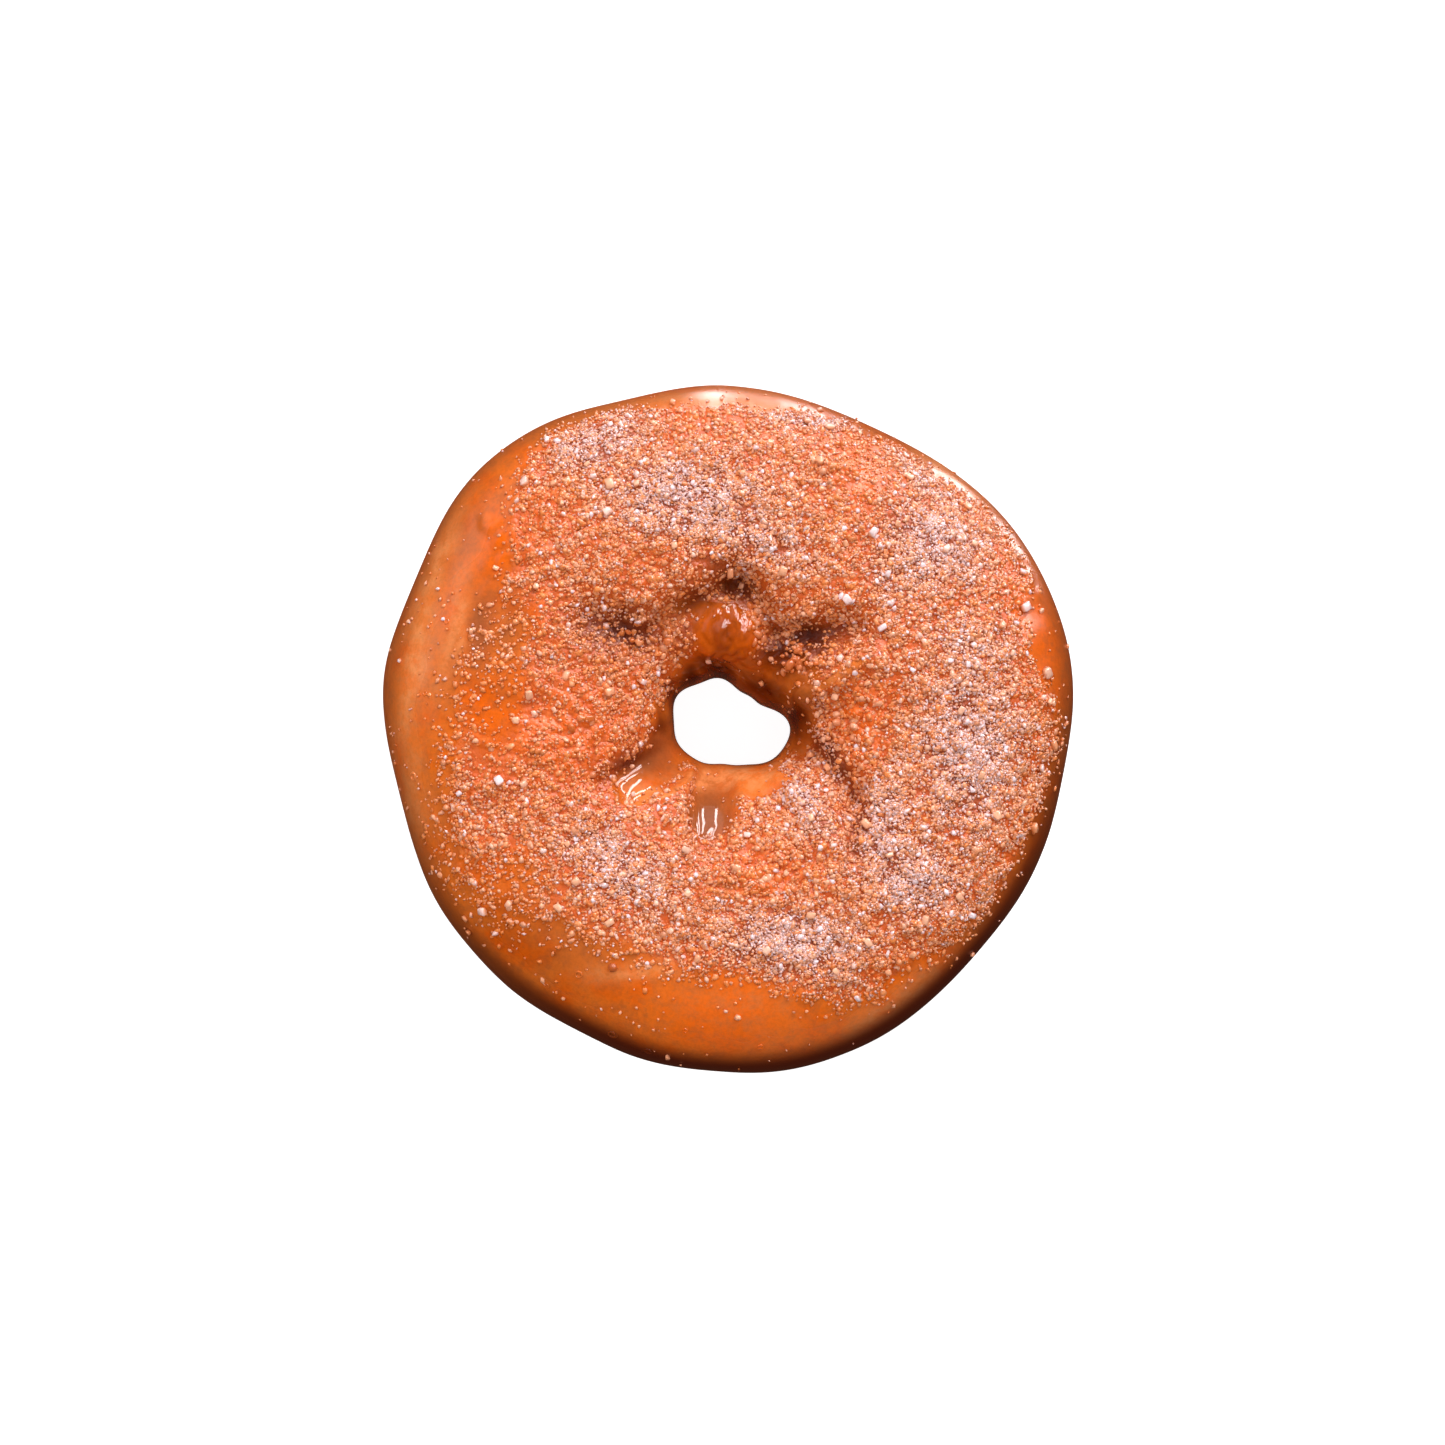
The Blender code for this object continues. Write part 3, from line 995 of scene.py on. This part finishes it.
@dataclass
class Crust:
    """The finished surface of the dough, from which places for the sugar are drawn."""

    corners: np.ndarray
    normals: np.ndarray
    areas: np.ndarray
    fields: Fields
    tree: BVHTree

    def draw_places(
        self, draw: np.random.Generator, count: int, density: np.ndarray
    ) -> tuple[np.ndarray, np.ndarray, np.ndarray]:
        """Draws places on the crust.

        Args:
            draw: The random draw.
            count: How many places.
            density: How likely each face is, for each square metre.

        Returns:
            The places, the ways out of the crust there, and the faces that they lie on.
        """
        chances = np.cumsum(self.areas * density)
        faces = np.searchsorted(chances, draw.random(count) * chances[-1])
        across, along = draw.random((2, count, 1))
        first, second, third, fourth = self.corners[faces].transpose(1, 0, 2)
        near = first * (1 - across) + second * across
        far = fourth * (1 - across) + third * across
        return near * (1 - along) + far * along, self.normals[faces], faces

    def from_above(self, x: float, y: float) -> tuple[Vector, Vector, int]:
        """The point of the crust that is seen at a place from above.

        Args:
            x: The place along X in metres.
            y: The place along Y in metres.

        Returns:
            The point, the way out of the crust, and the face.
        """
        point, normal, face, _ = self.tree.ray_cast(Vector((x, y, 1)), Vector((0, 0, -1)))
        return point, normal, face


@dataclass
class Dough:
    """The ring of dough with its glaze, finer than the solid that it stands for."""

    shape: RingShape
    surface: SurfaceMap
    ring_steps: int = 540
    section_steps: int = 180
    spun_radius: float = 2.0
    hollow_radius: float = 22 * MM
    hollow_density: float = 1.4
    underside_density: float = 0.25
    survey_steps: int = 4000
    lump_height: float = 0.85 * MM
    lump_length: float = 2.2 * MM
    wrinkle_height: float = 1.7 * MM
    wrinkle_length: float = 1.9 * MM
    lump_middle: float = 0.45
    wrinkle_middle: float = 0.25
    lump_rise: tuple[float, float] = (0.05, 0.50)
    wrinkle_rise: tuple[float, float] = (0, 0.22)

    def turns(self) -> np.ndarray:
        """Turns round the section, close together on top and wide apart underneath.

        Returns:
            One more turn than there are steps, from 0 to a full turn.
        """
        survey = np.linspace(0, math.tau, self.survey_steps)
        points, _ = self.shape.section(np.zeros_like(survey), survey)
        lengths = np.linalg.norm(np.diff(points, axis=0), axis=1)
        middle = (survey[1:] + survey[:-1]) / 2
        hollow = (middle < math.pi) & (points[1:, 0] < self.hollow_radius)
        above = np.where(hollow, self.hollow_density, 1.0)
        density = np.where(middle > math.pi, self.underside_density, above)
        walked = np.concatenate([[0], np.cumsum(lengths * density)])
        return np.interp(np.linspace(0, walked[-1], self.section_steps + 1), walked, survey)

    def spun_ring(self) -> bpy.types.Mesh:
        """A plain ring whose points then go to their places on the crust.

        Returns:
            Its mesh.
        """
        ring = bmesh.new()
        upright = Matrix.Translation((self.spun_radius, 0, 0)) @ Matrix.Rotation(math.pi / 2, 4, "X")
        bmesh.ops.create_circle(ring, segments=self.section_steps, radius=1, matrix=upright)
        spin_round(ring, ring.edges[:], Vector((0, 0, 0)), Vector((0, 0, 1)), self.ring_steps)
        bmesh.ops.recalc_face_normals(ring, faces=ring.faces[:])
        return mesh_of("dough", ring)

    def finest_relief(self, points: np.ndarray, fields: Fields) -> tuple[np.ndarray, np.ndarray]:
        """The lumps of the sugar crust and the wrinkles of the torn dough in the hollow.

        Args:
            points: Points of the crust.
            fields: The surface map there.

        Returns:
            How far each point is raised in metres, and how high it lies between valley and lump, 0 to 1.
        """
        lumps = np.abs(noise_at(points, self.lump_length))
        lumps += 0.5 * np.abs(noise_at(points, self.lump_length / 2))
        wrinkles = np.abs(noise_at(points, self.wrinkle_length))
        creased = patch_glow(self.surface.wrinkled, points[:, 0], points[:, 1]) * fields["up"]
        raised = self.lump_height * (lumps - self.lump_middle) * fields["cover"]
        raised += self.wrinkle_height * (wrinkles - self.wrinkle_middle) * creased
        smooth, torn = smooth_step(lumps, *self.lump_rise), smooth_step(wrinkles, *self.wrinkle_rise)
        return raised, smooth * (1 - creased) + torn * creased

    def build(self, finish: bpy.types.Material) -> Crust:
        """Makes the dough.

        Args:
            finish: Its material.

        Returns:
            Its crust, for the sugar to lie on.
        """
        mesh = self.spun_ring()
        spun = np.empty(len(mesh.vertices) * 3, np.float32)
        mesh.vertices.foreach_get("co", spun)
        x, y, z = spun.reshape(-1, 3).astype(float).T
        step = np.arctan2(z, np.hypot(x, y) - self.spun_radius) / math.tau * self.section_steps
        turn = np.interp(step % self.section_steps, np.arange(self.section_steps + 1), self.turns())
        points, normals = self.shape.crust(np.arctan2(y, x), turn)
        fields = self.surface.at(points, normals)
        raised, fields["dip"] = self.finest_relief(points, fields)
        points += normals * raised[:, None]
        points[:, 2] = np.maximum(points[:, 2], 0)
        mesh.vertices.foreach_set("co", points.astype(np.float32).ravel())
        mesh.update()
        mesh.shade_smooth()
        keep_values(mesh, fields)
        mesh.materials.append(finish)
        dough = linked("dough", mesh)
        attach(dough, BODY)
        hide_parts("doughnut")
        LOG.info("dough: %d faces", len(mesh.polygons))
        return self.crust_of(mesh, points, fields)

    def crust_of(self, mesh: bpy.types.Mesh, points: np.ndarray, fields: Fields) -> Crust:
        """Reads the faces of the finished dough.

        Args:
            mesh: The mesh of the dough, all quads.
            points: Its points.
            fields: The surface map at its points.

        Returns:
            The crust.
        """
        count = len(mesh.polygons)
        corners = np.empty(count * 4, np.int32)
        mesh.polygons.foreach_get("vertices", corners)
        corners = corners.reshape(-1, 4)
        normals = np.empty(count * 3, np.float32)
        mesh.polygons.foreach_get("normal", normals)
        areas = np.empty(count, np.float32)
        mesh.polygons.foreach_get("area", areas)
        return Crust(
            points[corners],
            normals.reshape(-1, 3).astype(float),
            areas.astype(float),
            {name: values[corners].mean(axis=1) for name, values in fields.items()},
            BVHTree.FromPolygons(points.tolist(), corners.tolist()),
        )


def linked(name: str, mesh: bpy.types.Mesh) -> bpy.types.Object:
    """An object of a mesh, in the scene."""
    thing = bpy.data.objects.new(name, mesh)
    bpy.context.scene.collection.objects.link(thing)
    return thing


def joined(name: str, placed: np.ndarray, faces: np.ndarray, values: Fields) -> bpy.types.Object:
    """One mesh object of many small things that share their faces.

    Args:
        name: The name of the object.
        placed: The points of each thing, in place.
        faces: The triangles of one thing.
        values: Numbers to keep on the mesh, one for each point of each thing.

    Returns:
        The object.
    """
    count, size = placed.shape[:2]
    corners = (faces[None] + size * np.arange(count)[:, None, None]).reshape(-1)
    mesh = bpy.data.meshes.new(name)
    mesh.vertices.add(count * size)
    mesh.vertices.foreach_set("co", placed.astype(np.float32).ravel())
    mesh.loops.add(len(corners))
    mesh.loops.foreach_set("vertex_index", corners.astype(np.int32))
    mesh.polygons.add(len(corners) // 3)
    mesh.polygons.foreach_set("loop_start", np.arange(0, len(corners), 3, dtype=np.int32))
    mesh.update(calc_edges=True)
    keep_values(mesh, values)
    return linked(name, mesh)


@dataclass
class Grains:
    """Grains of one cut, each a little different."""

    cut: Cut
    variants: int = 8

    def one(self, draw: np.random.Generator) -> bmesh.types.BMesh:
        """One grain of about 1 across.

        Args:
            draw: The random draw that makes it uneven.

        Returns:
            Its mesh.
        """
        grain = bmesh.new()
        uneven = 0.12
        match self.cut:
            case Cut.SPLINTER:
                bmesh.ops.create_uvsphere(grain, u_segments=4, v_segments=2, radius=0.55)
                uneven = 0.14
            case Cut.LUMP:
                bmesh.ops.create_icosphere(grain, subdivisions=1, radius=0.5)
                uneven = 0.13
            case Cut.CRYSTAL:
                bmesh.ops.create_cube(grain, size=0.9)
                bmesh.ops.bevel(
                    grain,
                    geom=grain.edges[:],
                    offset=0.15,
                    segments=1,
                    profile=0.5,
                    affect="EDGES",
                    material=-1,
                )
                uneven = 0.09
            case Cut.CRUMB:
                bmesh.ops.create_icosphere(grain, subdivisions=2, radius=0.5)
                uneven = 0.06
        for vertex in grain.verts:
            vertex.co += Vector(draw.uniform(-uneven, uneven, 3))
        bmesh.ops.triangulate(grain, faces=grain.faces[:])
        bmesh.ops.recalc_face_normals(grain, faces=grain.faces[:])
        return grain

    def all(self, draw: np.random.Generator) -> tuple[np.ndarray, np.ndarray]:
        """Every variant.

        Args:
            draw: The random draw.

        Returns:
            Their points, one grain each, and the triangles that they share.
        """
        shapes, faces = [], np.empty((0, 3), int)
        for _ in range(self.variants):
            grain = self.one(draw)
            shapes.append([vertex.co[:] for vertex in grain.verts])
            if not len(faces):
                faces = np.array(faces_in_order(grain))
            grain.free()
        return np.array(shapes), faces


@dataclass
class Sprinkle:
    """Many grains of one kind, joined in one mesh."""

    name: str
    cut: Cut
    count: int = 0
    smallest: float = 0.0
    largest: float = 0.0
    seed: int = 0
    slot: Slot = Slot.SUGAR
    sunk: float = 0.25
    tilt: float = 0.45
    smallness: float = 2.0
    on_cover: float = 1.0
    on_drift: float = 0.0
    astray: float = 0.006
    clumping: float = 0.9
    clump_length: float = 1.9 * MM
    whiteness: float = 0.25
    drift_whiteness: float = 0.62
    white_spread: float = 0.33
    dullest: float = 0.45
    fewer_in_creases: float = 0.92
    # Painted shade: how much darker the grains are made in creases, pits and on the hole walls.
    shade_in_creases: float = 0.30
    fewer_on_orange: float = 0.72
    browner_on_orange: float = 0.26
    in_valleys: float = 0.15
    lengths: tuple[float, float] = (0.95, 1.35)
    breadths: tuple[float, float] = (0.75, 1.0)
    thicknesses: tuple[float, float] = (0.6, 0.9)
    lift: float = 0.4
    dry_from: tuple[float, float] = (-0.5, 0.3)  # the soaked foot and the dry top of a grain, along its own Z
    whiteness_below: float = 0.2
    # Painted shade at the foot of each grain: the share of its lightness that is left there.
    foot_shade_lightness: float = 0.5

    def frames(self, draw: np.random.Generator, normals: np.ndarray, sizes: np.ndarray) -> np.ndarray:
        """Axes for the grains, each with its own Z roughly out of the crust.

        Args:
            draw: The random draw.
            normals: The ways out of the crust.
            sizes: The size of each grain.

        Returns:
            One 3 by 3 matrix for each grain, its columns being the grain's own axes.
        """
        upward = normals + self.tilt * draw.normal(size=normals.shape)
        upward /= np.linalg.norm(upward, axis=1, keepdims=True)
        side = np.cross(upward, draw.normal(size=normals.shape))
        side /= np.linalg.norm(side, axis=1, keepdims=True)
        axes = np.stack([side, np.cross(upward, side), upward], axis=2)
        count = len(sizes)
        sides = (self.lengths, self.breadths, self.thicknesses)
        proportions = np.stack([draw.uniform(*side, count) for side in sides], axis=1)
        return axes * (proportions * sizes[:, None])[:, None, :]

    def density(self, crust: Crust) -> np.ndarray:
        """How thickly the grains lie on each face of the crust.

        Args:
            crust: The crust.

        Returns:
            A density for each face.
        """
        middles = crust.corners.mean(axis=1)
        clumps = 1 + self.clumping * noise_at(middles + self.seed, self.clump_length)
        drift = crust.fields["white"] * smooth_step(crust.fields["cover"], 0.0, 0.3)
        lying = crust.fields["cover"] * self.on_cover + drift * self.on_drift
        kept = 1 - self.fewer_in_creases * crust.fields["dark_glaze_and_shade"]
        kept *= self.in_valleys + (1 - self.in_valleys) * crust.fields["dip"]
        kept *= 1 - self.fewer_on_orange * crust.fields["hot"]
        clumps = np.maximum(clumps, 0)
        return crust.fields["up"] * kept * (lying * clumps + self.astray * clumps**3)

    def build(self, crust: Crust, finish: bpy.types.Material) -> bpy.types.Object:
        """Scatters the grains.

        Args:
            crust: The surface that they lie on.
            finish: The material of the grains.

        Returns:
            The object that holds them all.
        """
        draw = np.random.default_rng(self.seed)
        points, normals, faces = crust.draw_places(draw, self.count, self.density(crust))
        sizes = self.smallest + (self.largest - self.smallest) * draw.random(self.count) ** self.smallness
        drift = crust.fields["white"][faces]
        white = self.whiteness + self.drift_whiteness * drift + draw.normal(0, self.white_spread, self.count)
        white -= self.browner_on_orange * crust.fields["hot"][faces]
        shade = draw.uniform(self.dullest, 1.0, self.count)
        # Painted shade: grains in creases and pits are darker.
        shade *= 1 - self.shade_in_creases * crust.fields["dark_glaze_and_shade"][faces]
        return self.lay(draw, points, normals, sizes, np.clip(white, 0, 1), shade, finish)

    def lay(
        self,
        draw: np.random.Generator,
        points: np.ndarray,
        normals: np.ndarray,
        sizes: np.ndarray,
        white: np.ndarray,
        shade: np.ndarray,
        finish: bpy.types.Material,
    ) -> bpy.types.Object:
        """Lays grains on given places.

        Args:
            draw: The random draw.
            points: The places.
            normals: The ways out of the crust.
            sizes: The size of each grain.
            white: How dry each grain is, from 0 to 1.
            shade: How light each grain is, from 0 to 1.
            finish: The material.

        Returns:
            The object that holds them all.
        """
        shapes, triangles = Grains(self.cut).all(draw)
        count = len(points)
        chosen = shapes[draw.integers(len(shapes), size=count)]
        lifted = points + normals * (sizes * (self.lift - self.sunk))[:, None]
        placed = np.einsum("nij,nkj->nki", self.frames(draw, normals, sizes), chosen) + lifted[:, None, :]
        above = smooth_step(chosen[:, :, 2], *self.dry_from)
        white = white[:, None] * (self.whiteness_below + (1 - self.whiteness_below) * above)
        # Painted shade: the foot of each grain is darker than its top.
        shade = shade[:, None] * (self.foot_shade_lightness + (1 - self.foot_shade_lightness) * above)
        grains = joined(self.name, placed, triangles, {"white": white, "shade": shade})
        grains.data.materials.append(finish)
        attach(grains, BODY)
        LOG.info("%s: %d grains, %d triangles", self.name, count, count * len(triangles))
        return grains


@dataclass
class Crystals:
    """The largest crystals, where the solid has them fused on."""

    shape: RingShape
    count: int = 120
    tries: int = 6000
    seed: int = 31
    smallest: float = 0.45 * MM
    largest: float = 0.85 * MM
    gap: float = 2.9 * MM
    upright: float = 0.55
    off_sugar: float = 0.08  # how likely a crystal is where no sugar lies, beside 1 where it lies thick
    across: float = 1.45  # the size of a crystal, as a share of its radius

    def spots(self) -> tuple[np.ndarray, np.ndarray, np.ndarray]:
        """The places by the same draw as the solid's.

        Returns:
            The places on the crust, the ways out of it, and the radii.
        """
        draw = random.Random(self.seed)
        rows = []
        for _ in range(self.tries):
            angle, turn, luck = draw.uniform(0, math.tau), draw.uniform(0, math.pi), draw.random()
            radius = self.smallest + (self.largest - self.smallest) * draw.random() ** 2
            rows.append((angle, turn, luck, radius))
        angles, turns, lucks, radii = np.array(rows).T
        points, normals = self.shape.crust(angles, turns)
        share = np.hypot(points[:, 0], points[:, 1]) / self.shape.rim_radius
        cover = self.shape.sugar_cover(points[:, 0], points[:, 1])
        wanted = share * (self.off_sugar + (1 - self.off_sugar) * cover)
        chosen: list[int] = []
        for index in np.flatnonzero((normals[:, 2] >= self.upright) & (lucks <= wanted)):
            if all(np.linalg.norm(points[index] - points[other]) > self.gap for other in chosen):
                chosen.append(index)
            if len(chosen) == self.count:
                break
        return points[chosen], normals[chosen], radii[chosen]

    def build(self, crust: Crust, finish: bpy.types.Material) -> bpy.types.Object:
        """Lays the crystals.

        Args:
            crust: The surface that they lie on.
            finish: Their material.

        Returns:
            The object that holds them all.
        """
        points, normals, radii = self.spots()
        draw = np.random.default_rng(self.seed)
        dark_glaze_and_shade = np.array([crust.fields["dark_glaze_and_shade"][crust.from_above(x, y)[2]] for x, y, _ in points])
        # Painted shade: crystals in creases and pits are darker and less white.
        white = (0.3 + 0.7 * draw.random(len(points)) ** 2) * (1 - 0.5 * dark_glaze_and_shade)
        shade = draw.uniform(0.85, 1.0, len(points)) * (1 - 0.4 * dark_glaze_and_shade)
        sprinkle = Sprinkle("sugar_crystals", Cut.CRYSTAL, sunk=0.1, tilt=0.25)
        return sprinkle.lay(draw, points, normals, radii * self.across, white, shade, finish)


@dataclass
class Crumbs:
    """Crumbs of soaked crust, in loose clusters where the top is torn."""

    clusters: tuple[Patch, ...] = (
        Patch((16.0, 1.7), (4.2, 5.0)),
        Patch((8.9, 8.6), (3.2, 2.0), -15),
        Patch((5.4, -18.6), (6.0, 3.6)),
        Patch((-19.0, 0.0), (3.6, 5.0)),
        Patch((3.8, 12.6), (1.6, 3.6)),
        Patch((-12.5, 9.5), (4.6, 3.0)),
    )
    count: int = 30
    smallest: float = 0.6 * MM
    largest: float = 1.4 * MM
    speck: tuple[float, float] = (-14.8, -30.4)
    scatter: float = 0.5
    driest: float = 0.45
    dullest: float = 0.45
    # Painted shade: how much darker and less white the crumbs are made in creases and pits.
    shade_in_creases: float = 0.6
    seed: int = 5

    def build(self, crust: Crust, finish: bpy.types.Material) -> bpy.types.Object:
        """Lays the crumbs, and one burnt speck among them.

        Args:
            crust: The surface that they lie on.
            finish: Their material.

        Returns:
            The object that holds them all.
        """
        draw = np.random.default_rng(self.seed)
        spots = [crust.from_above(self.speck[0] * MM, self.speck[1] * MM)]
        for cluster in self.clusters:
            for across, up in draw.normal(0, self.scatter, (self.count, 2)):
                x = cluster.middle[0] + cluster.radii[0] * across
                y = cluster.middle[1] + cluster.radii[1] * up
                spots.append(crust.from_above(x * MM, y * MM))
        spots = [spot for spot in spots if spot[0] is not None]
        points = np.array([spot[0][:] for spot in spots])
        normals = np.array([spot[1][:] for spot in spots])
        count = len(spots)
        sizes = self.smallest + (self.largest - self.smallest) * draw.random(count) ** 2
        # Painted shade: crumbs in creases and pits are darker and less white.
        lit = 1 - self.shade_in_creases * crust.fields["dark_glaze_and_shade"][[spot[2] for spot in spots]]
        white = lit * draw.uniform(0.0, self.driest, count)
        shade = lit * draw.uniform(self.dullest, 1.0, count)
        white[0], shade[0] = 0, 0
        sprinkle = Sprinkle("crumbs", Cut.CRUMB, slot=Slot.DOUGH, sunk=0.45, tilt=0.6)
        return sprinkle.lay(draw, points, normals, sizes, white, shade, finish)


@dataclass
class Bubbles:
    """The rings of small burst bubbles in the glaze."""

    spots: tuple[tuple[float, float, float], ...] = (
        (-40.5, -6.2, 0.62),
        (-15.0, -39.4, 0.70),
        (-10.4, -41.6, 0.62),
        (-19.2, -31.4, 0.55),
        (-36.0, 13.6, 0.40),
        (-33.5, -14.8, 0.38),
        (-28.6, -24.4, 0.42),
        (-5.6, -38.6, 0.36),
        (4.0, -40.8, 0.45),
        (-38.8, 4.4, 0.34),
        (-23.4, -33.0, 0.36),
    )
    wall: float = 0.26  # the radius of the ring's own section, as a share of the bubble's
    around: int = 20
    sides: int = 8

    def build(self, crust: Crust, finish: bpy.types.Material) -> bpy.types.Object:
        """Sets the bubbles in the glaze.

        Args:
            crust: The surface that they stand on.
            finish: The glaze.

        Returns:
            The object that holds them all.
        """
        rings = bmesh.new()
        faces = []
        for x, y, radius in self.spots:
            point, normal, face = crust.from_above(x * MM, y * MM)
            faces.append(face)
            lie = Matrix.Translation(point) @ normal.to_track_quat("Z", "Y").to_matrix().to_4x4()
            wall = self.wall * radius * MM
            beside = Matrix.Translation((radius * MM - wall, 0, 0)) @ Matrix.Rotation(math.pi / 2, 4, "X")
            made = bmesh.ops.create_circle(rings, segments=self.sides, radius=wall, matrix=lie @ beside)
            edges = list(dict.fromkeys(edge for vertex in made["verts"] for edge in vertex.link_edges))
            spin_round(rings, edges, point, normal, self.around)
        bmesh.ops.recalc_face_normals(rings, faces=rings.faces[:])
        mesh = mesh_of("glaze_bubbles", rings)
        each = len(mesh.vertices) // len(self.spots)
        keep_values(mesh, {name: np.repeat(values[faces], each) for name, values in crust.fields.items()})
        mesh.shade_smooth()
        mesh.materials.append(finish)
        bubbles = linked("glaze_bubbles", mesh)
        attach(bubbles, BODY)
        LOG.info("glaze_bubbles: %d", len(self.spots))
        return bubbles


@dataclass
class Studio:
    """The pale floor, the tall windows beyond the top of the picture, and soft light from all over."""

    floor_side: float = 6.0
    window_distance: float = 0.6
    window_height: float = 1.25
    window_elevation: float = 7.0
    window_width: float = 0.07
    window_radiance: float = 22.0
    window_azimuths: tuple[float, ...] = (36.0, 50.0, 74.0, 90.0)
    window_colour: tuple[float, float, float] = (1.0, 0.96, 0.98)
    soft_lights: tuple[SoftLight, ...] = (
        SoftLight("key", 62, 42, 0.7, (0.34, 0.34), 8.7, (1.0, 0.97, 0.97)),
        SoftLight("overhead", 90, 86, 0.8, (0.9, 0.9), 1.05, (1.0, 0.98, 0.99)),
        SoftLight("left_fill", 165, 30, 0.6, (0.35, 0.25), 4.0, (1.0, 0.92, 0.86)),
        SoftLight("front_fill", -84, 46, 0.6, (0.3, 0.3), 3.1, (1.0, 0.92, 0.84)),
        SoftLight("side_fill", -70, 4, 0.6, (0.5, 0.2), 1.4, (1.0, 0.94, 0.88)),
    )
    sky_north: Colour = (1.15, 1.02, 1.0, 1)
    sky_south: Colour = (0.03, 0.015, 0.01, 1)
    sky_overhead: Colour = (0.07, 0.06, 0.06, 1)
    sky_below: Colour = (0.06, 0.03, 0.02, 1)

    def lamp(self, row: SoftLight) -> bpy.types.Object:
        """Makes one light, which faces the doughnut.

        Args:
            row: What it is like.

        Returns:
            The light.
        """
        data = bpy.data.lights.new(row.name, "AREA")
        data.shape = "RECTANGLE"
        data.size, data.size_y = row.size
        data.energy = row.radiance * math.pi * row.size[0] * row.size[1]
        data.color = row.colour
        light = bpy.data.objects.new(row.name, data)
        turn, rise = math.radians(row.azimuth), math.radians(row.elevation)
        way = Vector((math.cos(turn) * math.cos(rise), math.sin(turn) * math.cos(rise), math.sin(rise)))
        light.rotation_mode = "QUATERNION"
        light.rotation_quaternion = way.to_track_quat("Z", "Y")
        light.location = way * row.distance
        bpy.context.scene.collection.objects.link(light)
        return light

    def floor(self) -> bpy.types.Object:
        """The pale floor, which lights nothing and isn't mirrored in the glaze.

        Returns:
            Its object.
        """
        sheet = bmesh.new()
        bmesh.ops.create_grid(sheet, x_segments=1, y_segments=1, size=self.floor_side / 2)
        mesh = mesh_of("floor", sheet)
        mesh.materials.append(FloorFinish().material())
        floor = linked("floor", mesh)
        floor.visible_glossy = False
        floor.visible_diffuse = False
        return floor

    def sky(self) -> bpy.types.World:
        """What the glaze mirrors: bright beyond the top of the picture, dark overhead and at the bottom.

        Returns:
            The world.
        """
        world = bpy.data.worlds.new("studio")
        world.use_nodes = True
        graph = Graph(world.node_tree, "Generated")
        _, north, up = graph.split(graph.place)
        colour = graph.blend(graph.stretch(north, -0.3, 0.85), self.sky_south, self.sky_north)
        colour = graph.blend(graph.stretch(up, 0.50, 0.90), colour, self.sky_overhead)
        colour = graph.blend(graph.stretch(up, -0.05, 0.40), self.sky_below, colour)
        graph.put(world.node_tree.nodes["Background"].inputs["Color"], colour)
        return world

    def build(self) -> None:
        """Makes the floor, the lights and the sky."""
        self.floor()
        size = (self.window_width, self.window_height)
        for number, azimuth in enumerate(self.window_azimuths):
            pane = SoftLight(
                f"window_pane_{number}",
                azimuth,
                self.window_elevation,
                self.window_distance,
                size,
                self.window_radiance,
                self.window_colour,
            )
            self.lamp(pane).visible_diffuse = False
        for row in self.soft_lights:
            self.lamp(row).visible_glossy = False
        scene = bpy.context.scene
        scene.world = self.sky()
        scene.view_settings.view_transform = "Standard"
        scene.view_settings.look = "None"


def main() -> None:
    """Builds the doughnut, its sugar, the camera and the studio."""
    logging.basicConfig(level=logging.INFO)
    Camera().build()
    shape = RingShape()
    glaze = DoughFinish().material()
    crust = Dough(shape, SurfaceMap(shape)).build(glaze)
    sugar = SugarFinish("sugar").material()
    sprinkles = (
        Sprinkle(
            "soaked_sugar",
            Cut.LUMP,
            9800,
            0.40 * MM,
            1.00 * MM,
            1,
            sunk=0.45,
            whiteness=0.16,
            drift_whiteness=0.25,
            white_spread=0.22,
        ),
        Sprinkle("fine_sugar", Cut.SPLINTER, 24800, 0.30 * MM, 0.68 * MM, 2, on_drift=0.4, whiteness=0.30),
        Sprinkle(
            "dry_sugar",
            Cut.SPLINTER,
            24000,
            0.24 * MM,
            0.52 * MM,
            3,
            on_cover=0.08,
            on_drift=1.0,
            sunk=0.05,
            whiteness=0.42,
            drift_whiteness=0.75,
            white_spread=0.3,
        ),
        Sprinkle(
            "coarse_sugar",
            Cut.LUMP,
            2500,
            0.40 * MM,
            0.90 * MM,
            4,
            smallness=2.4,
            on_drift=0.5,
            astray=0.045,
            whiteness=0.58,
            drift_whiteness=0.45,
            dullest=0.75,
        ),
    )
    for sprinkle in sprinkles:
        sprinkle.build(crust, sugar)
    Crystals(shape).build(crust, sugar)
    Crumbs().build(crust, SugarFinish("soaked_crumbs", soaked=(0.80, 0.19, 0.03, 1)).material())
    Bubbles().build(crust, glaze)
    Studio().build()


if __name__ == "__main__":
    main()
